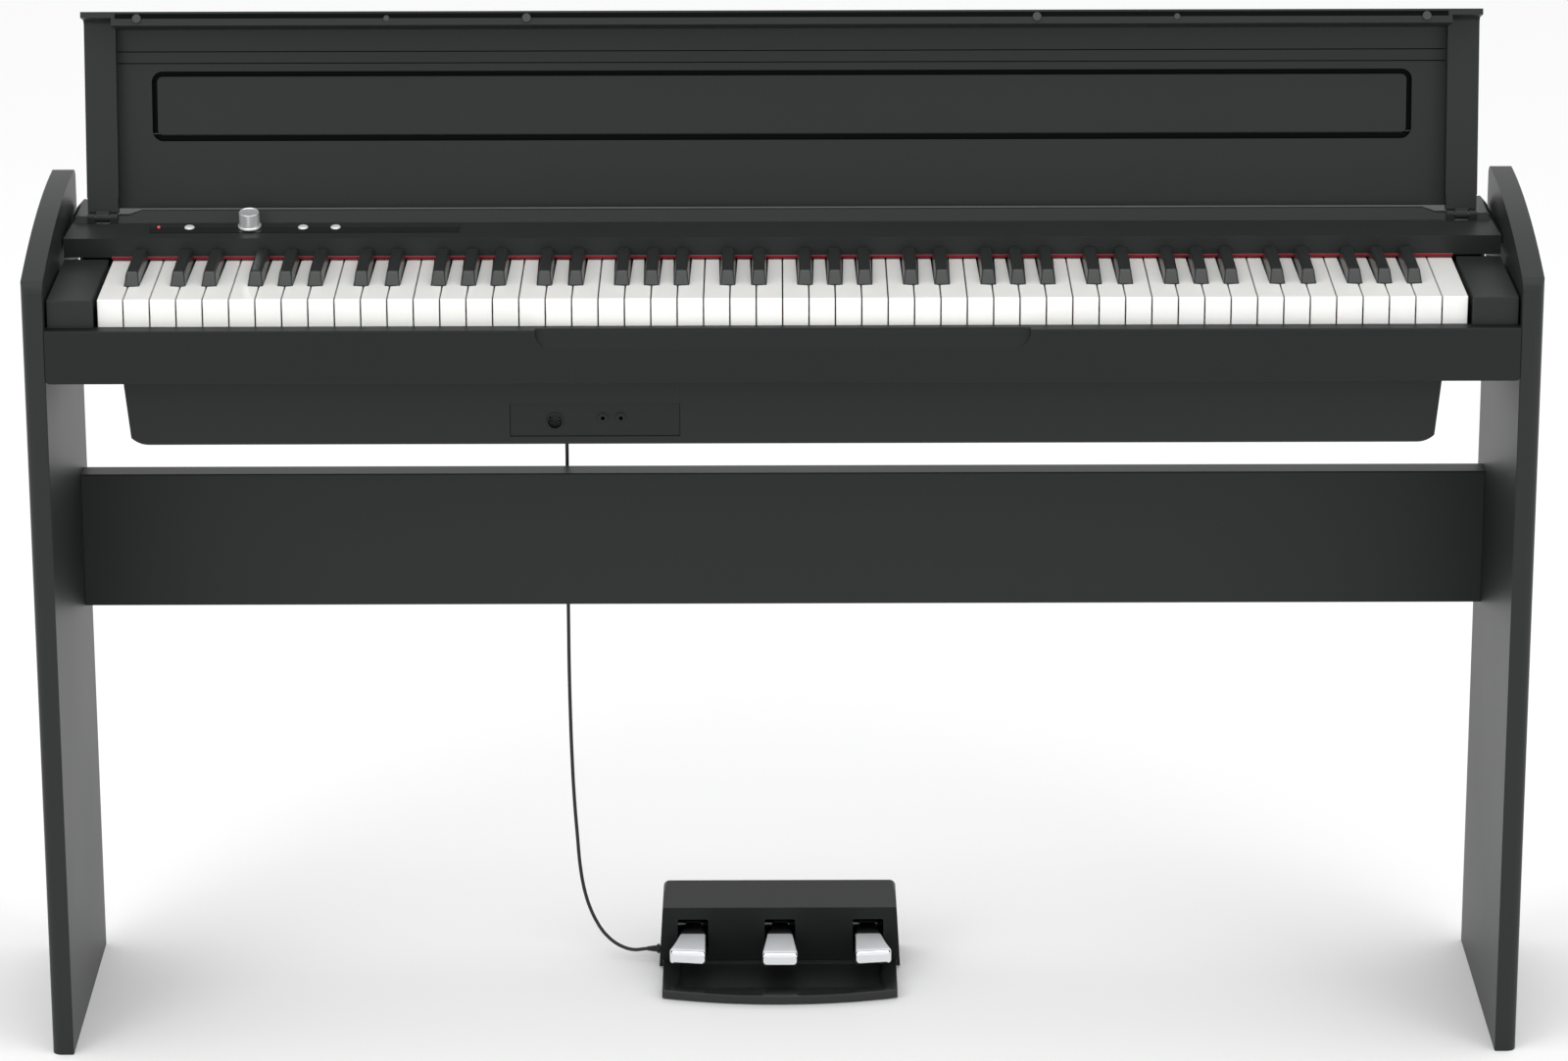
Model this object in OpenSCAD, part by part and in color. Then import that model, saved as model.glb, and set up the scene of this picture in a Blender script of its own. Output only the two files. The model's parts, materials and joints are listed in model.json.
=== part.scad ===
// Digital piano on a two-panel stand, with a folding lid and a floor pedal unit.
// Millimetres, +Z up, X along the keyboard (bass at -X), the player at -Y.
// The origin is on the floor, in the middle of the width and of the depth.
// Places along the depth are given as distances behind the stand's front plane.

/* [Stand] */
// Overall width across the two side panels
overall_w = 1362; // [1100:1:1700]
// Overall depth of a side panel
overall_d = 280; // [250:1:340]
// Height of the underside of the keyboard case
case_z = 650; // [560:1:780]
// Thickness of a side panel
side_t = 20; // [15:1:26]
// Rise of the side panel's crown above the case underside
side_rise = 131; // [120:1:160]
// Radius of the long arc along a side panel's top edge
side_arc_r = 846; // [600:1:1200]
// Distance of that arc's crown from the back edge
side_crown_back = 22; // [16:1:60]
// Radius of the bend from the front edge into the top edge
side_front_r = 14; // [6:1:30]
// Radius of the rear top corner
side_rear_r = 15; // [4:1:30]
// Rounding of the front edge on the outer side
side_outer_r = 9; // [3:0.5:12]
// Rounding of the other upright edges
side_inner_r = 2; // [1:0.5:4]
// Height of the stretcher's lower edge
stretcher_z = 366; // [200:1:450]
// Height of the stretcher board
stretcher_h = 130; // [80:1:160]
// Thickness of the stretcher board
stretcher_t = 26; // [15:1:28]
// Gap from the stretcher to the back of the side panels
stretcher_back = 30; // [26:1:40]
// Height of a steel stand bracket
bracket_leg = 34; // [25:1:50]
// Foot of a steel stand bracket on the keybed
bracket_foot = 14.5; // [12:0.5:30]
// Width of a steel stand bracket
bracket_w = 32; // [20:1:45]
// Thickness of the bracket steel
bracket_t = 2.5; // [1.5:0.5:4]
// Shank diameter of a stand bolt
bolt_d = 6; // [4:0.5:8]
// Head diameter of a stand bolt
bolt_head_d = 12; // [9:0.5:15]
// Head height of a stand bolt
bolt_head_h = 4; // [2:0.5:6]
// Length of a stand bolt's shank in the board
bolt_len = 12; // [8:0.5:14]

/* [Case] */
// Thickness of the keybed board
keybed_t = 15; // [10:1:20]
// Depth of the front rail
rail_t = 15.5; // [12:0.5:20]
// Height of the front rail
rail_h = 49.5; // [44:0.5:56]
// Rounding of the rail's front edges
rail_r = 2; // [1:0.5:4]
// Half length of the finger scoop
scoop_half = 222; // [120:1:300]
// Height of the finger scoop
scoop_h = 17; // [10:0.5:22]
// Depth of the finger scoop at the top of the rail
scoop_d = 7; // [3:0.2:8]
// Lower corner radius of the finger scoop
scoop_r = 15; // [4:1:16]
// Front plane of the key blocks
block_d = 9; // [4:0.5:12]
// Height of the key blocks above the rail
block_h = 26.5; // [22:0.5:28]
// Least width of a key block
block_min_w = 30; // [20:1:60]
// Gap between a key block and its neighbours
block_gap = 3; // [1:0.5:4]
// Gap between the control panel's end and the side panel
case_side_gap = 2; // [1:0.5:5]
// How far the control panel's ends lean in at the top
panel_end_lean = 14.5; // [13:0.5:16]
// Wall of the plastic and sheet housings
shell_wall = 3; // [2:0.5:4]
// Front plane of the fallboard face
fallboard_d = 150.8; // [145:0.1:160]
// Gap under the fallboard, above the key tops
fallboard_gap = 3; // [2:0.5:6]
// Height of the fallboard face
fallboard_h = 18; // [12:1:24]
// Depth of the sloping control panel
panel_run = 33.2; // [31:0.2:40]
// Rise of the sloping control panel
panel_rise = 6; // [4:0.5:9]
// Depth of the riser behind the control panel
riser_run = 5; // [3:0.5:8]
// Height of the riser behind the control panel
riser_h = 10.5; // [8:0.5:11]
// Width of the flat on top of the riser
ridge_w = 4; // [3:0.5:6]
// Drop from the ridge to the rear deck
deck_drop = 9.5; // [8:0.5:12]
// Height lost by the ridge over the lid hinges
ridge_dip = 4.5; // [2:0.5:5]
// Distance from the side panel to where the ridge begins to dip
ridge_dip_from = 71; // [60:1:90]
// Thickness of the key felt strip
felt_t = 1.4; // [1:0.2:2]
// Height of the key felt strip
felt_h = 2.5; // [2:0.5:5]

/* [Keys] */
// Width of one white key with its gap
key_pitch = 23.65; // [22:0.05:30]
// Number of white keys on a full keyboard
full_white_keys = 52; // [30:1:52]
// Height of the white key tops above the case underside
key_rise = 74; // [72:0.5:78]
// Gap between two white keys
key_gap = 1.2; // [0.8:0.1:2]
// Gap between a black key and the white keys beside it
sharp_gap = 1; // [0.8:0.1:1.5]
// Gap between the rail and the key fronts
key_front_gap = 1; // [0.8:0.1:2]
// Thickness of a white key
key_t = 12; // [8:0.5:13]
// Height of the lip at a white key's front
key_lip_h = 27; // [20:0.5:28]
// Thickness of that lip
key_lip_t = 3; // [2:0.5:5]
// Distance from a white key's front to a black key's front
sharp_setback = 45; // [40:0.5:52]
// Width of a black key at its foot
sharp_w = 13.7; // [11:0.1:15]
// Width of a black key's top
sharp_top_w = 10.5; // [8:0.1:11]
// Height of a black key above the white keys
sharp_h = 12; // [9:0.5:13]
// Depth of the slope at a black key's front
sharp_slope = 8; // [5:0.5:12]
// Width of the arm behind each key
key_arm_w = 7; // [5:0.5:8]
// Height of the arm behind each key
key_arm_h = 12; // [10:0.5:13]
// Distance of the key pivot from the back of the side panels
key_pivot_back = 40; // [36:1:60]
// Drop of the key pivot below the key tops
key_pivot_drop = 12; // [12:0.5:13]
// Diameter of the key pivot rod
key_rod_d = 5; // [3:0.5:6]
// Radial clearance of a moving bore on its pin
bore_clear = 0.05; // [0.02:0.01:0.1]

/* [Controls] */
// Places along the panel, measured from the inner face of the left side panel
lamp_from_left = 87.6; // [60:0.1:100]
// Power button
power_from_left = 115.8; // [105:0.1:140]
// Volume knob
knob_from_left = 171.2; // [145:0.1:190]
// Sound button
sound_from_left = 220.3; // [200:0.1:235]
// Song button
song_from_left = 250.2; // [240:0.1:300]
// Left end of the glossy inset
inset_from_left = 79.5; // [60:0.5:82]
// Length of the glossy inset
inset_len = 285; // [220:1:400]
// Depth of the glossy inset
inset_w = 20; // [16:0.5:21]
// Thickness of the glossy inset
inset_t = 0.8; // [0.4:0.1:1.2]
// Distance of the controls up the slope of the panel
control_up = 22.5; // [20:0.1:23]
// Diameter of a button
button_d = 9.4; // [7:0.1:10]
// Height of a button above the inset
button_h = 1.2; // [1:0.1:2.5]
// Gap around a button
button_gap = 0.3; // [0.2:0.1:0.6]
// Travel of a button
button_travel = 0.8; // [0.4:0.1:1]
// Diameter of the volume knob
knob_d = 19; // [15:0.5:19]
// Diameter of the knob's foot ring
knob_foot_d = 21.4; // [19.5:0.1:22]
// Height of the volume knob
knob_h = 15; // [11:0.5:15.5]
// Diameter of the potentiometer shaft
shaft_d = 6; // [4:0.5:6]

/* [Lid] */
// Gap between the lid's end and the side panel
lid_side_gap = 20.5; // [19:0.5:30]
// Lid pivot's distance behind the front plane
pivot_d = 187; // [186.5:0.1:188]
// Lid pivot's height above the control panel's top edge
pivot_up = 4.5; // [4.3:0.1:4.8]
// Opening angle of the lid
lid_open = 108.3; // [95:0.1:110]
// Distance of the lip's front face from the front plane when closed
lip_d = 2.5; // [1:0.5:3]
// Thickness of the lip
lip_t = 12.7; // [9:0.1:13]
// Thickness of the lip's ends, in front of the key blocks
lip_end_t = 5.5; // [4:0.5:6]
// Radius where the lip's ends meet the cheeks
lip_end_r = 7; // [3:0.5:7]
// Gap between the closed lip and the rail
lip_gap = 2.5; // [2:0.1:4]
// Width of a lid cheek
cheek_w = 29; // [24:1:36]
// Thickness of the lid over the music rest
lid_t = 5.4; // [5:0.1:7]
// Corner radius along the lid's front edge
lid_r = 12; // [6:0.5:16]
// Diameter of a hinge pin
hinge_pin_d = 4; // [3:0.5:4.5]
// Radius of the hinge eyes
hinge_eye_r = 4.5; // [4:0.1:4.6]
// Width of the lid's hinge eye
hinge_eye_w = 12; // [8:0.5:14]
// Gap beside a hinge eye
hinge_gap = 0.5; // [0.3:0.1:1]
// Height of the edge strip in the lip
strip_t = 2.5; // [1.5:0.5:4]
// Width of the edge strip in the lip
strip_w = 4.6; // [3:0.1:6]
// Distance of the edge strip from the lip's front face
strip_in = 1.8; // [1.5:0.1:4]
// Diameter of a lid pad
pad_d = 8; // [5:0.5:8.5]
// Height of a lid pad
pad_h = 2; // [1:0.1:2.2]
// Distance of the outer pads from the side panel
pad_outer_in = 72; // [58:1:90]
// Distance of the inner pads from the middle
pad_inner_half = 233; // [150:1:300]
// Distance from the side panel to the end of the music rest's recess
rest_side_gap = 80.5; // [70:0.5:120]
// Height of the music rest's recess
rest_h = 64.5; // [50:0.5:90]
// Distance of that recess from the lid's hinge side
rest_from_hinge = 53.6; // [40:0.1:60]
// Gap around the music rest
rest_gap = 5; // [3:0.5:6]
// Thickness of the music rest
rest_t = 3.6; // [3:0.1:4]
// Corner radius of the recess
rest_r = 10; // [6:0.5:14]

/* [Speaker box] */
// Gap between the speaker box and the side panel at the top
box_side_gap = 64; // [50:1:120]
// How far the box ends lean in at the bottom
box_lean = 7; // [0:0.5:12]
// Height of the speaker box
box_h = 69; // [60:1:90]
// Front plane of the speaker box
box_d = 40; // [30:1:60]
// Gap from the speaker box to the back of the side panels
box_back = 8; // [4:1:20]
// Wall of the speaker box
box_wall = 6; // [4:0.5:8]
// Left end of the jack plate, from the left side panel
jack_from_left = 413.5; // [380:0.5:440]
// Length of the jack plate
jack_len = 154.5; // [130:0.5:180]
// Height of the jack plate
jack_h = 31; // [24:0.5:34]
// Gap between the case underside and the jack plate
jack_drop = 31; // [25:0.5:35]
// How far the jack plate is sunk
jack_sunk = 1; // [1:0.5:3]
// Five-pin socket, from the jack plate's left end
midi_from_end = 41; // [20:0.5:60]
// First headphone socket, from the jack plate's left end
phones_from_end = 84.4; // [70:0.5:90]
// Distance between the headphone sockets
phones_pitch = 16.4; // [14:0.1:25]
// Diameter of a headphone socket's bore
phones_d = 3.6; // [3.5:0.1:3.7]
// Depth of a headphone socket's bore
phones_len = 15; // [14:1:16]
// Diameter of the five-pin socket
midi_d = 16.4; // [15:0.1:18]
// Diameter of a speaker
speaker_d = 100; // [70:1:104]
// Distance of each speaker from the side panel
speaker_in = 255; // [160:1:300]

/* [Pedal unit] */
// Middle of the pedal unit along X
pedal_x = -4; // [-60:1:60]
// Front of the pedal unit behind the front plane
pedal_d = 116; // [80:1:140]
// Width of the base
base_w = 224; // [220:1:260]
// Depth of the base
base_len = 153; // [151:1:180]
// Bulge of the base's front edge
base_bulge = 16; // [5:1:30]
// Height of the base's top face
base_z = 9.7; // [8:0.1:11]
// Height of the rubber feet
foot_h = 1.5; // [1:0.1:3]
// Diameter of a rubber foot
foot_d = 16; // [10:1:20]
// Depth of the tray in the base
tray_h = 3; // [1:0.5:4]
// Cover's front face behind the base's front
cover_back = 91; // [88:1:100]
// Height of the cover's front face
cover_z = 64; // [60:1:80]
// Height of the cover's rear edge
cover_rear_z = 70; // [66:1:90]
// Width of the cover at its foot
cover_w = 232; // [229:1:270]
// How far each end of the cover leans in at the top
cover_lean = 4; // [1:0.5:6]
// Corner radius at the cover's top ends
cover_r = 6; // [4:0.5:10]
// Wall of the cover
cover_wall = 2.5; // [2:0.5:3]
// Clearance of the cover above the floor
cover_gap = 3; // [2:0.5:5]
// Thickness of a pedal
pedal_t = 15; // [12:0.5:16]
// Height of a pedal's top face
pedal_z = 38.8; // [36:0.1:42]
// Width of a pedal where it enters the cover
pedal_w = 23; // [18:0.5:26]
// Width of a pedal at its front
pedal_front_w = 34; // [26:0.5:38]
// Reach of the side pedals in front of the cover
pedal_reach = 52; // [40:0.5:60]
// Extra reach of the middle pedal
pedal_extra = 5; // [0:0.5:10]
// Distance between neighbouring pedals
pedal_pitch = 84; // [76:0.5:90]
// Gap between a pedal and its slot
slot_gap = 3.2; // [2:0.1:5]
// Height of the pedal axle
axle_z = 30; // [28:0.5:32]
// Pedal axle behind the cover's front face
axle_back = 45; // [40:0.5:48]
// Diameter of the pedal axle
axle_d = 6; // [4:0.5:8]
// Diameter of the spring wire
wire_d = 1.6; // [1:0.1:2]

/* [Pedal cord] */
// Diameter of the pedal cord
cord_d = 3.4; // [3:0.1:4]
// Diameter of the pedal plug
plug_d = 12; // [9:0.5:14]
// Length of the pedal plug's body
plug_len = 26; // [18:1:30]

/* [Hidden] */
eps = 0.01;
$fn = 48;

half_in = overall_w / 2 - side_t;
side_top = case_z + side_rise;
rail_top = case_z - 0.5 + rail_h;
keybed_top = case_z + keybed_t;
key_top = case_z + key_rise;
key_front = rail_t + key_front_gap;
room_for_keys = 2 * (half_in - block_min_w - block_gap);
white_n = min(full_white_keys, floor(room_for_keys / key_pitch));
keys_half = white_n * key_pitch / 2;
key_pivot_d = overall_d - key_pivot_back;
key_pivot_z = key_top - key_pivot_drop;
sharp_front = key_front + sharp_setback;
sharp_end = fallboard_d - 2;
case_half = half_in - case_side_gap;
rear_d = overall_d - box_back;
fallboard_z = key_top + fallboard_gap;
panel_z = fallboard_z + fallboard_h;
panel_end_d = fallboard_d + panel_run;
panel_end_z = panel_z + panel_rise;
panel_tilt = atan2(panel_rise, panel_run);
ridge_d = panel_end_d + riser_run;
ridge_z = panel_end_z + riser_h;
deck_z = ridge_z - deck_drop;
deck_d = ridge_d + ridge_w + 3;
lid_half = half_in - lid_side_gap;
pivot_z = panel_end_z + pivot_up;
hinge_x = lid_half - cheek_w / 2;
hinge_half = cheek_w / 2 - 0.5;
strip_half = lid_half - cheek_w - 2.5;
box_half = half_in - box_side_gap;
box_z = case_z - box_h;
jack_x = -half_in + jack_from_left;
jack_z = case_z - jack_drop - jack_h;
cover_d = pedal_d + cover_back;
axle_y = cover_d + axle_back;
base_end = pedal_d + base_len;

// Closed-lid section, in the frame of the pivot
lip_y0 = lip_d - pivot_d;
lip_y1 = lip_y0 + lip_t;
lip_z = rail_top + lip_gap - pivot_z;
face_slope = 10.28;
face_y = -17.9;
face_z = 15.3;
cheek_z = -1.7;
cheek_slope = 8.71;
lid_rear_y = -10;
boss_y = -5;
mould_lines = [-136.2, -125.5];

// Cord route in X, distance behind the front plane, and height
socket_x = -204;
socket_d = 256;
gland_x = pedal_x - cover_w / 2 + 0.1;
gland_d = 235;
gland_z = 11;
CORD_SHAPE = [
    [-204, 256, 541], [-204, 256.5, 525], [-204, 258, 500], [-204.5, 260, 465],
    [-205, 261, 425], [-205, 262, 380], [-205, 262, 335], [-205, 262, 290],
    [-204.5, 262, 245], [-203.5, 262, 200], [-202, 262, 160], [-199.5, 262, 120],
    [-196.5, 262, 82], [-192.5, 261.2, 59], [-187.5, 259.5, 43], [-182, 257, 31.5],
    [-176, 253.5, 22.6], [-170, 249.8, 17], [-164, 246, 13.2], [-157, 242, 10.6],
    [-150, 238.5, 9.3], [-143, 236, 9.4], [-137, 235.1, 10.4], [-132.1, 235, 11]
];
// The upper end follows the underside of the box
CORD = [for (p = CORD_SHAPE) [p[0], p[1], p[2] + (box_z - 581) * max(0, p[2] - 59) / 482]];

// ---------- helpers ----------

function fy(d) = d - overall_d / 2;

// Section in (depth, height), extruded along X
module along_x(x0, x1) {
    translate([x0, -overall_d / 2, 0])
        rotate([90, 0, 90])
            linear_extrude(x1 - x0) children();
}

// Section in (X, height), extruded along the depth
module along_y(d0, d1) {
    translate([0, fy(d1), 0])
        rotate([90, 0, 0])
            linear_extrude(d1 - d0) children();
}

// Section in (X, depth), extruded upwards
module along_z(z0, z1) {
    translate([0, -overall_d / 2, z0])
        linear_extrude(z1 - z0) children();
}

module block(x0, x1, d0, d1, z0, z1) {
    translate([x0, fy(d0), z0]) cube([x1 - x0, d1 - d0, z1 - z0]);
}

module bar(x0, x1, y0, y1, z0, z1) {
    translate([x0, y0, z0]) cube([x1 - x0, y1 - y0, z1 - z0]);
}

module rod_x(x0, x1, d, z, r) {
    translate([x0, fy(d), z]) rotate([0, 90, 0]) cylinder(h = x1 - x0, r = r);
}

module rod_y(x, d0, d1, z, r) {
    translate([x, fy(d1), z]) rotate([90, 0, 0]) cylinder(h = d1 - d0, r = r);
}

module both_ends() {
    children();
    mirror([1, 0, 0]) children();
}

// What a rounded corner takes away; sx and sy point into the shape
module corner_cut(x, y, r, sx, sy) {
    translate([x + sx * r, y + sy * r])
        difference() {
            translate([sx > 0 ? -r - 1 : 0, sy > 0 ? -r - 1 : 0]) square(r + 1);
            circle(r = r);
        }
}

// Rectangle with its own radius at lower left, lower right, upper right, upper left
module round_rect(x0, y0, x1, y1, r) {
    difference() {
        translate([x0, y0]) square([x1 - x0, y1 - y0]);
        if (r[0] > 0) corner_cut(x0, y0, r[0], 1, 1);
        if (r[1] > 0) corner_cut(x1, y0, r[1], -1, 1);
        if (r[2] > 0) corner_cut(x1, y1, r[2], -1, -1);
        if (r[3] > 0) corner_cut(x0, y1, r[3], 1, -1);
    }
}

// What lies over a round top edge: a band from x0 to x1 above the arc's centre
module crest_cut(cx, cz, r, x0, x1, z1) {
    difference() {
        translate([x0, cz]) square([x1 - x0, z1 - cz]);
        translate([cx, cz]) circle(r = r);
    }
}

// Frame of the sloping control panel: +Y up the slope, +Z out of the face
module on_panel(x, up) {
    translate([x, fy(fallboard_d), panel_z])
        rotate([panel_tilt, 0, 0])
            translate([0, up, 0]) children();
}

// Frame of the closed lid at its pivot, swung open
module in_lid() {
    translate([0, fy(pivot_d), pivot_z])
        rotate([-lid_open, 0, 0]) children();
}

module lid_bar(x0, x1) {
    translate([x0, 0, 0])
        rotate([90, 0, 90])
            linear_extrude(x1 - x0) children();
}

// Frame of the lid's inner face: +Y towards the hinge, +Z out through the lid
module on_lid_face() {
    in_lid()
        translate([0, face_y, face_z])
            rotate([face_slope, 0, 0]) children();
}

function from_left(x) = -half_in + x;

// ---------- stand ----------

module side_outline() {
    crown_d = overall_d - side_crown_back;
    arc_z = side_top - side_arc_r;
    front_rise = sqrt(pow(side_arc_r - side_front_r, 2) - pow(crown_d - side_front_r, 2));
    rear_x = overall_d - side_rear_r;
    rear_rise = sqrt(pow(side_arc_r - side_rear_r, 2) - pow(rear_x - crown_d, 2));
    front_share = (crown_d - side_front_r) / (side_arc_r - side_front_r);
    rear_share = (rear_x - crown_d) / (side_arc_r - side_rear_r);
    difference() {
        intersection() {
            square([overall_d, side_top]);
            translate([crown_d, arc_z]) circle(r = side_arc_r, $fn = 360);
        }
        crest_cut(side_front_r, arc_z + front_rise, side_front_r,
                  -1, side_front_r * (1 - front_share), side_top + 1);
        crest_cut(rear_x, arc_z + rear_rise, side_rear_r,
                  rear_x + side_rear_r * rear_share, overall_d + 1, side_top + 1);
    }
}

module side_panel_solid() {
    difference() {
        intersection() {
            along_x(half_in, half_in + side_t) side_outline();
            along_z(0, side_top)
                round_rect(half_in, 0, half_in + side_t, overall_d,
                           [side_inner_r, side_outer_r, side_inner_r, side_inner_r]);
        }
        for (p = bracket_places())
            rod_x(half_in - 1, half_in + bolt_len, p[0], p[1], bolt_d / 2);
    }
}

// Bolt places in a side panel: depth and height
function bracket_places() = [
    [fallboard_d + 26, keybed_top + bracket_leg - 12], [rear_d - 36, keybed_top + bracket_leg - 12],
    [overall_d - stretcher_back + 13, stretcher_z + stretcher_h / 2]
];

module left_side_panel() { color("#34383a") mirror([1, 0, 0]) side_panel_solid(); }

module right_side_panel() { color("#34383a") side_panel_solid(); }

module rear_stretcher() {
    d1 = overall_d - stretcher_back;
    color("#34383a")
        along_x(-half_in, half_in)
            round_rect(d1 - stretcher_t, stretcher_z, d1, stretcher_z + stretcher_h,
                       [1.5, 1.5, 1.5, 1.5]);
}

// Steel angles on the keybed behind the key blocks, and one behind the stretcher at each end
module stand_brackets() {
    back = overall_d - stretcher_back;
    mid = stretcher_z + stretcher_h / 2;
    color("#2a2c2e")
        both_ends() {
            for (d = [bracket_places()[0][0], bracket_places()[1][0]])
                difference() {
                    union() {
                        block(half_in - bracket_foot, half_in, d - bracket_w / 2, d + bracket_w / 2,
                              keybed_top, keybed_top + bracket_t);
                        block(half_in - bracket_t, half_in, d - bracket_w / 2, d + bracket_w / 2,
                              keybed_top, keybed_top + bracket_leg);
                    }
                    rod_x(half_in - 5, half_in + 1, d, bracket_places()[0][1], bolt_d / 2);
                }
            difference() {
                union() {
                    block(half_in - bracket_leg, half_in, back, back + bracket_t,
                          mid - bracket_w / 2, mid + bracket_w / 2);
                    block(half_in - bracket_t, half_in, back, back + 23,
                          mid - bracket_w / 2, mid + bracket_w / 2);
                }
                rod_x(half_in - 5, half_in + 1, bracket_places()[2][0], mid, bolt_d / 2);
            }
        }
}

module stand_bolts() {
    color("#b9bcbf")
        both_ends()
            for (p = bracket_places()) {
                rod_x(half_in - bracket_t, half_in + bolt_len, p[0], p[1], bolt_d / 2);
                difference() {
                    rod_x(half_in - bracket_t - bolt_head_h, half_in - bracket_t,
                          p[0], p[1], bolt_head_d / 2);
                    translate([half_in - bracket_t - bolt_head_h - 1, fy(p[0]), p[1]])
                        rotate([0, 90, 0]) cylinder(h = 3, r = bolt_d / 2, $fn = 6);
                }
            }
}

// ---------- case ----------

module keybed_board() {
    color("#3a3632")
        block(-half_in, half_in, rail_t, rear_d, case_z, keybed_top);
}

module front_rail() {
    z0 = case_z - 0.5;
    color("#2f3335")
        difference() {
            intersection() {
                along_x(-half_in, half_in) round_rect(0, z0, rail_t, rail_top, [rail_r, 0, 0, rail_r]);
                along_y(0, rail_t) round_rect(-half_in, z0, half_in, rail_top, [4, 4, 0, 0]);
            }
            intersection() {
                along_x(-half_in, half_in)
                    polygon([[-1, rail_top - scoop_h - 3], [scoop_d + 0.4, rail_top + 1], [-1, rail_top + 1]]);
                along_y(-2, rail_t)
                    round_rect(-scoop_half, rail_top - scoop_h, scoop_half, rail_top + 20,
                               [scoop_r, scoop_r, 0, 0]);
            }
        }
}

module key_blocks() {
    x0 = keys_half + block_gap;
    x1 = half_in - 2;
    z1 = rail_top + block_h;
    color("#303436")
        both_ends()
            along_x(x0, x1)
                difference() {
                    round_rect(block_d, keybed_top, fallboard_d, z1, [0, 0, 0, 1.5]);
                    translate([block_d - 1, keybed_top - 1])
                        square([rail_t - block_d + 1, rail_top - keybed_top + 1]);
                }
}

// Outer path of the control panel from the fallboard's foot to the rear deck
module panel_section() {
    rib_d = panel_end_d - 3;
    under = fallboard_d + shell_wall;
    drop = shell_wall / cos(panel_tilt);
    slope = tan(panel_tilt);
    polygon([
        [fallboard_d, fallboard_z], [fallboard_d, panel_z], [panel_end_d, panel_end_z],
        [ridge_d, ridge_z], [ridge_d + ridge_w, ridge_z], [deck_d, deck_z], [rear_d - shell_wall, deck_z],
        [rear_d - shell_wall, deck_z - shell_wall], [deck_d + 7, deck_z - shell_wall],
        [deck_d + 7, deck_z - shell_wall - 7], [rib_d, deck_z - shell_wall - 7],
        [rib_d, panel_z + (rib_d - fallboard_d) * slope - drop],
        [under, panel_z + shell_wall * slope - drop], [under, fallboard_z]
    ]);
}

module panel_end_section() {
    polygon([
        [fallboard_d, fallboard_z], [fallboard_d, panel_z], [panel_end_d, panel_end_z],
        [ridge_d, ridge_z], [ridge_d + ridge_w, ridge_z], [deck_d, deck_z],
        [rear_d - shell_wall, deck_z], [rear_d - shell_wall, fallboard_z]
    ]);
}

module hinge_pocket() {
    block(hinge_x - hinge_half, hinge_x + hinge_half, panel_end_d - 2, deck_d + 4,
          panel_end_z - 3, ridge_z + 5);
}

module control_panel() {
    dip_x = half_in - ridge_dip_from;
    color("#2c3032")
        difference() {
            union() {
                along_x(-case_half, case_half) panel_section();
                both_ends() along_x(case_half - shell_wall - panel_end_lean, case_half) panel_end_section();
            }
            both_ends() hinge_pocket();
            both_ends()
                along_y(panel_end_d, deck_d + 2)
                    polygon([[dip_x, ridge_z], [dip_x + 12, ridge_z - ridge_dip],
                             [half_in, ridge_z - ridge_dip], [half_in, ridge_z + 5], [dip_x, ridge_z + 5]]);
            both_ends()
                along_y(fallboard_d - 1, rear_d)
                    polygon([[case_half - panel_end_lean, ridge_z], [case_half, panel_z],
                             [case_half + 5, panel_z], [case_half + 5, ridge_z + 1],
                             [case_half - panel_end_lean, ridge_z + 1]]);
            for (x = [power_from_left, sound_from_left, song_from_left])
                on_panel(from_left(x), control_up)
                    translate([0, 0, -10]) cylinder(h = 20, r = button_d / 2 + button_gap);
            on_panel(from_left(knob_from_left), control_up)
                translate([0, 0, -10]) cylinder(h = 20, r = shaft_d / 2 + 1.4);
            on_panel(from_left(lamp_from_left), control_up)
                translate([0, 0, -10]) cylinder(h = 20, r = 1.6);
        }
}

module panel_inset() {
    up = control_up - inset_w / 2 - 1.2;
    color("#101213")
        difference() {
            on_panel(from_left(inset_from_left), up)
                linear_extrude(inset_t) round_rect(0, 0, inset_len, inset_w, [1, 1, 1, 1]);
            for (x = [power_from_left, sound_from_left, song_from_left])
                on_panel(from_left(x), control_up)
                    translate([0, 0, -1]) cylinder(h = 5, r = button_d / 2 + button_gap);
            on_panel(from_left(knob_from_left), control_up)
                translate([0, 0, -1]) cylinder(h = 5, r = shaft_d / 2 + 1.4);
            on_panel(from_left(lamp_from_left), control_up)
                translate([0, 0, -1]) cylinder(h = 5, r = 1.6);
        }
}

module rear_cover() {
    color("#26292a") {
        block(-case_half + panel_end_lean, case_half - panel_end_lean,
              rear_d - shell_wall, rear_d, keybed_top, deck_z);
        both_ends()
            block(case_half - panel_end_lean - shell_wall, case_half - panel_end_lean,
                  fallboard_d, rear_d - shell_wall, keybed_top, fallboard_z);
    }
}

// ---------- speaker box ----------

module box_outline(inset) {
    r = 22;
    intersection() {
        polygon([[-box_half + inset, case_z], [box_half - inset, case_z],
                 [box_half - box_lean - inset, box_z + inset], [-box_half + box_lean + inset, box_z + inset]]);
        round_rect(-box_half + inset, box_z + inset, box_half - inset, case_z + 1, [r, r, 0, 0]);
    }
}

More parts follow.
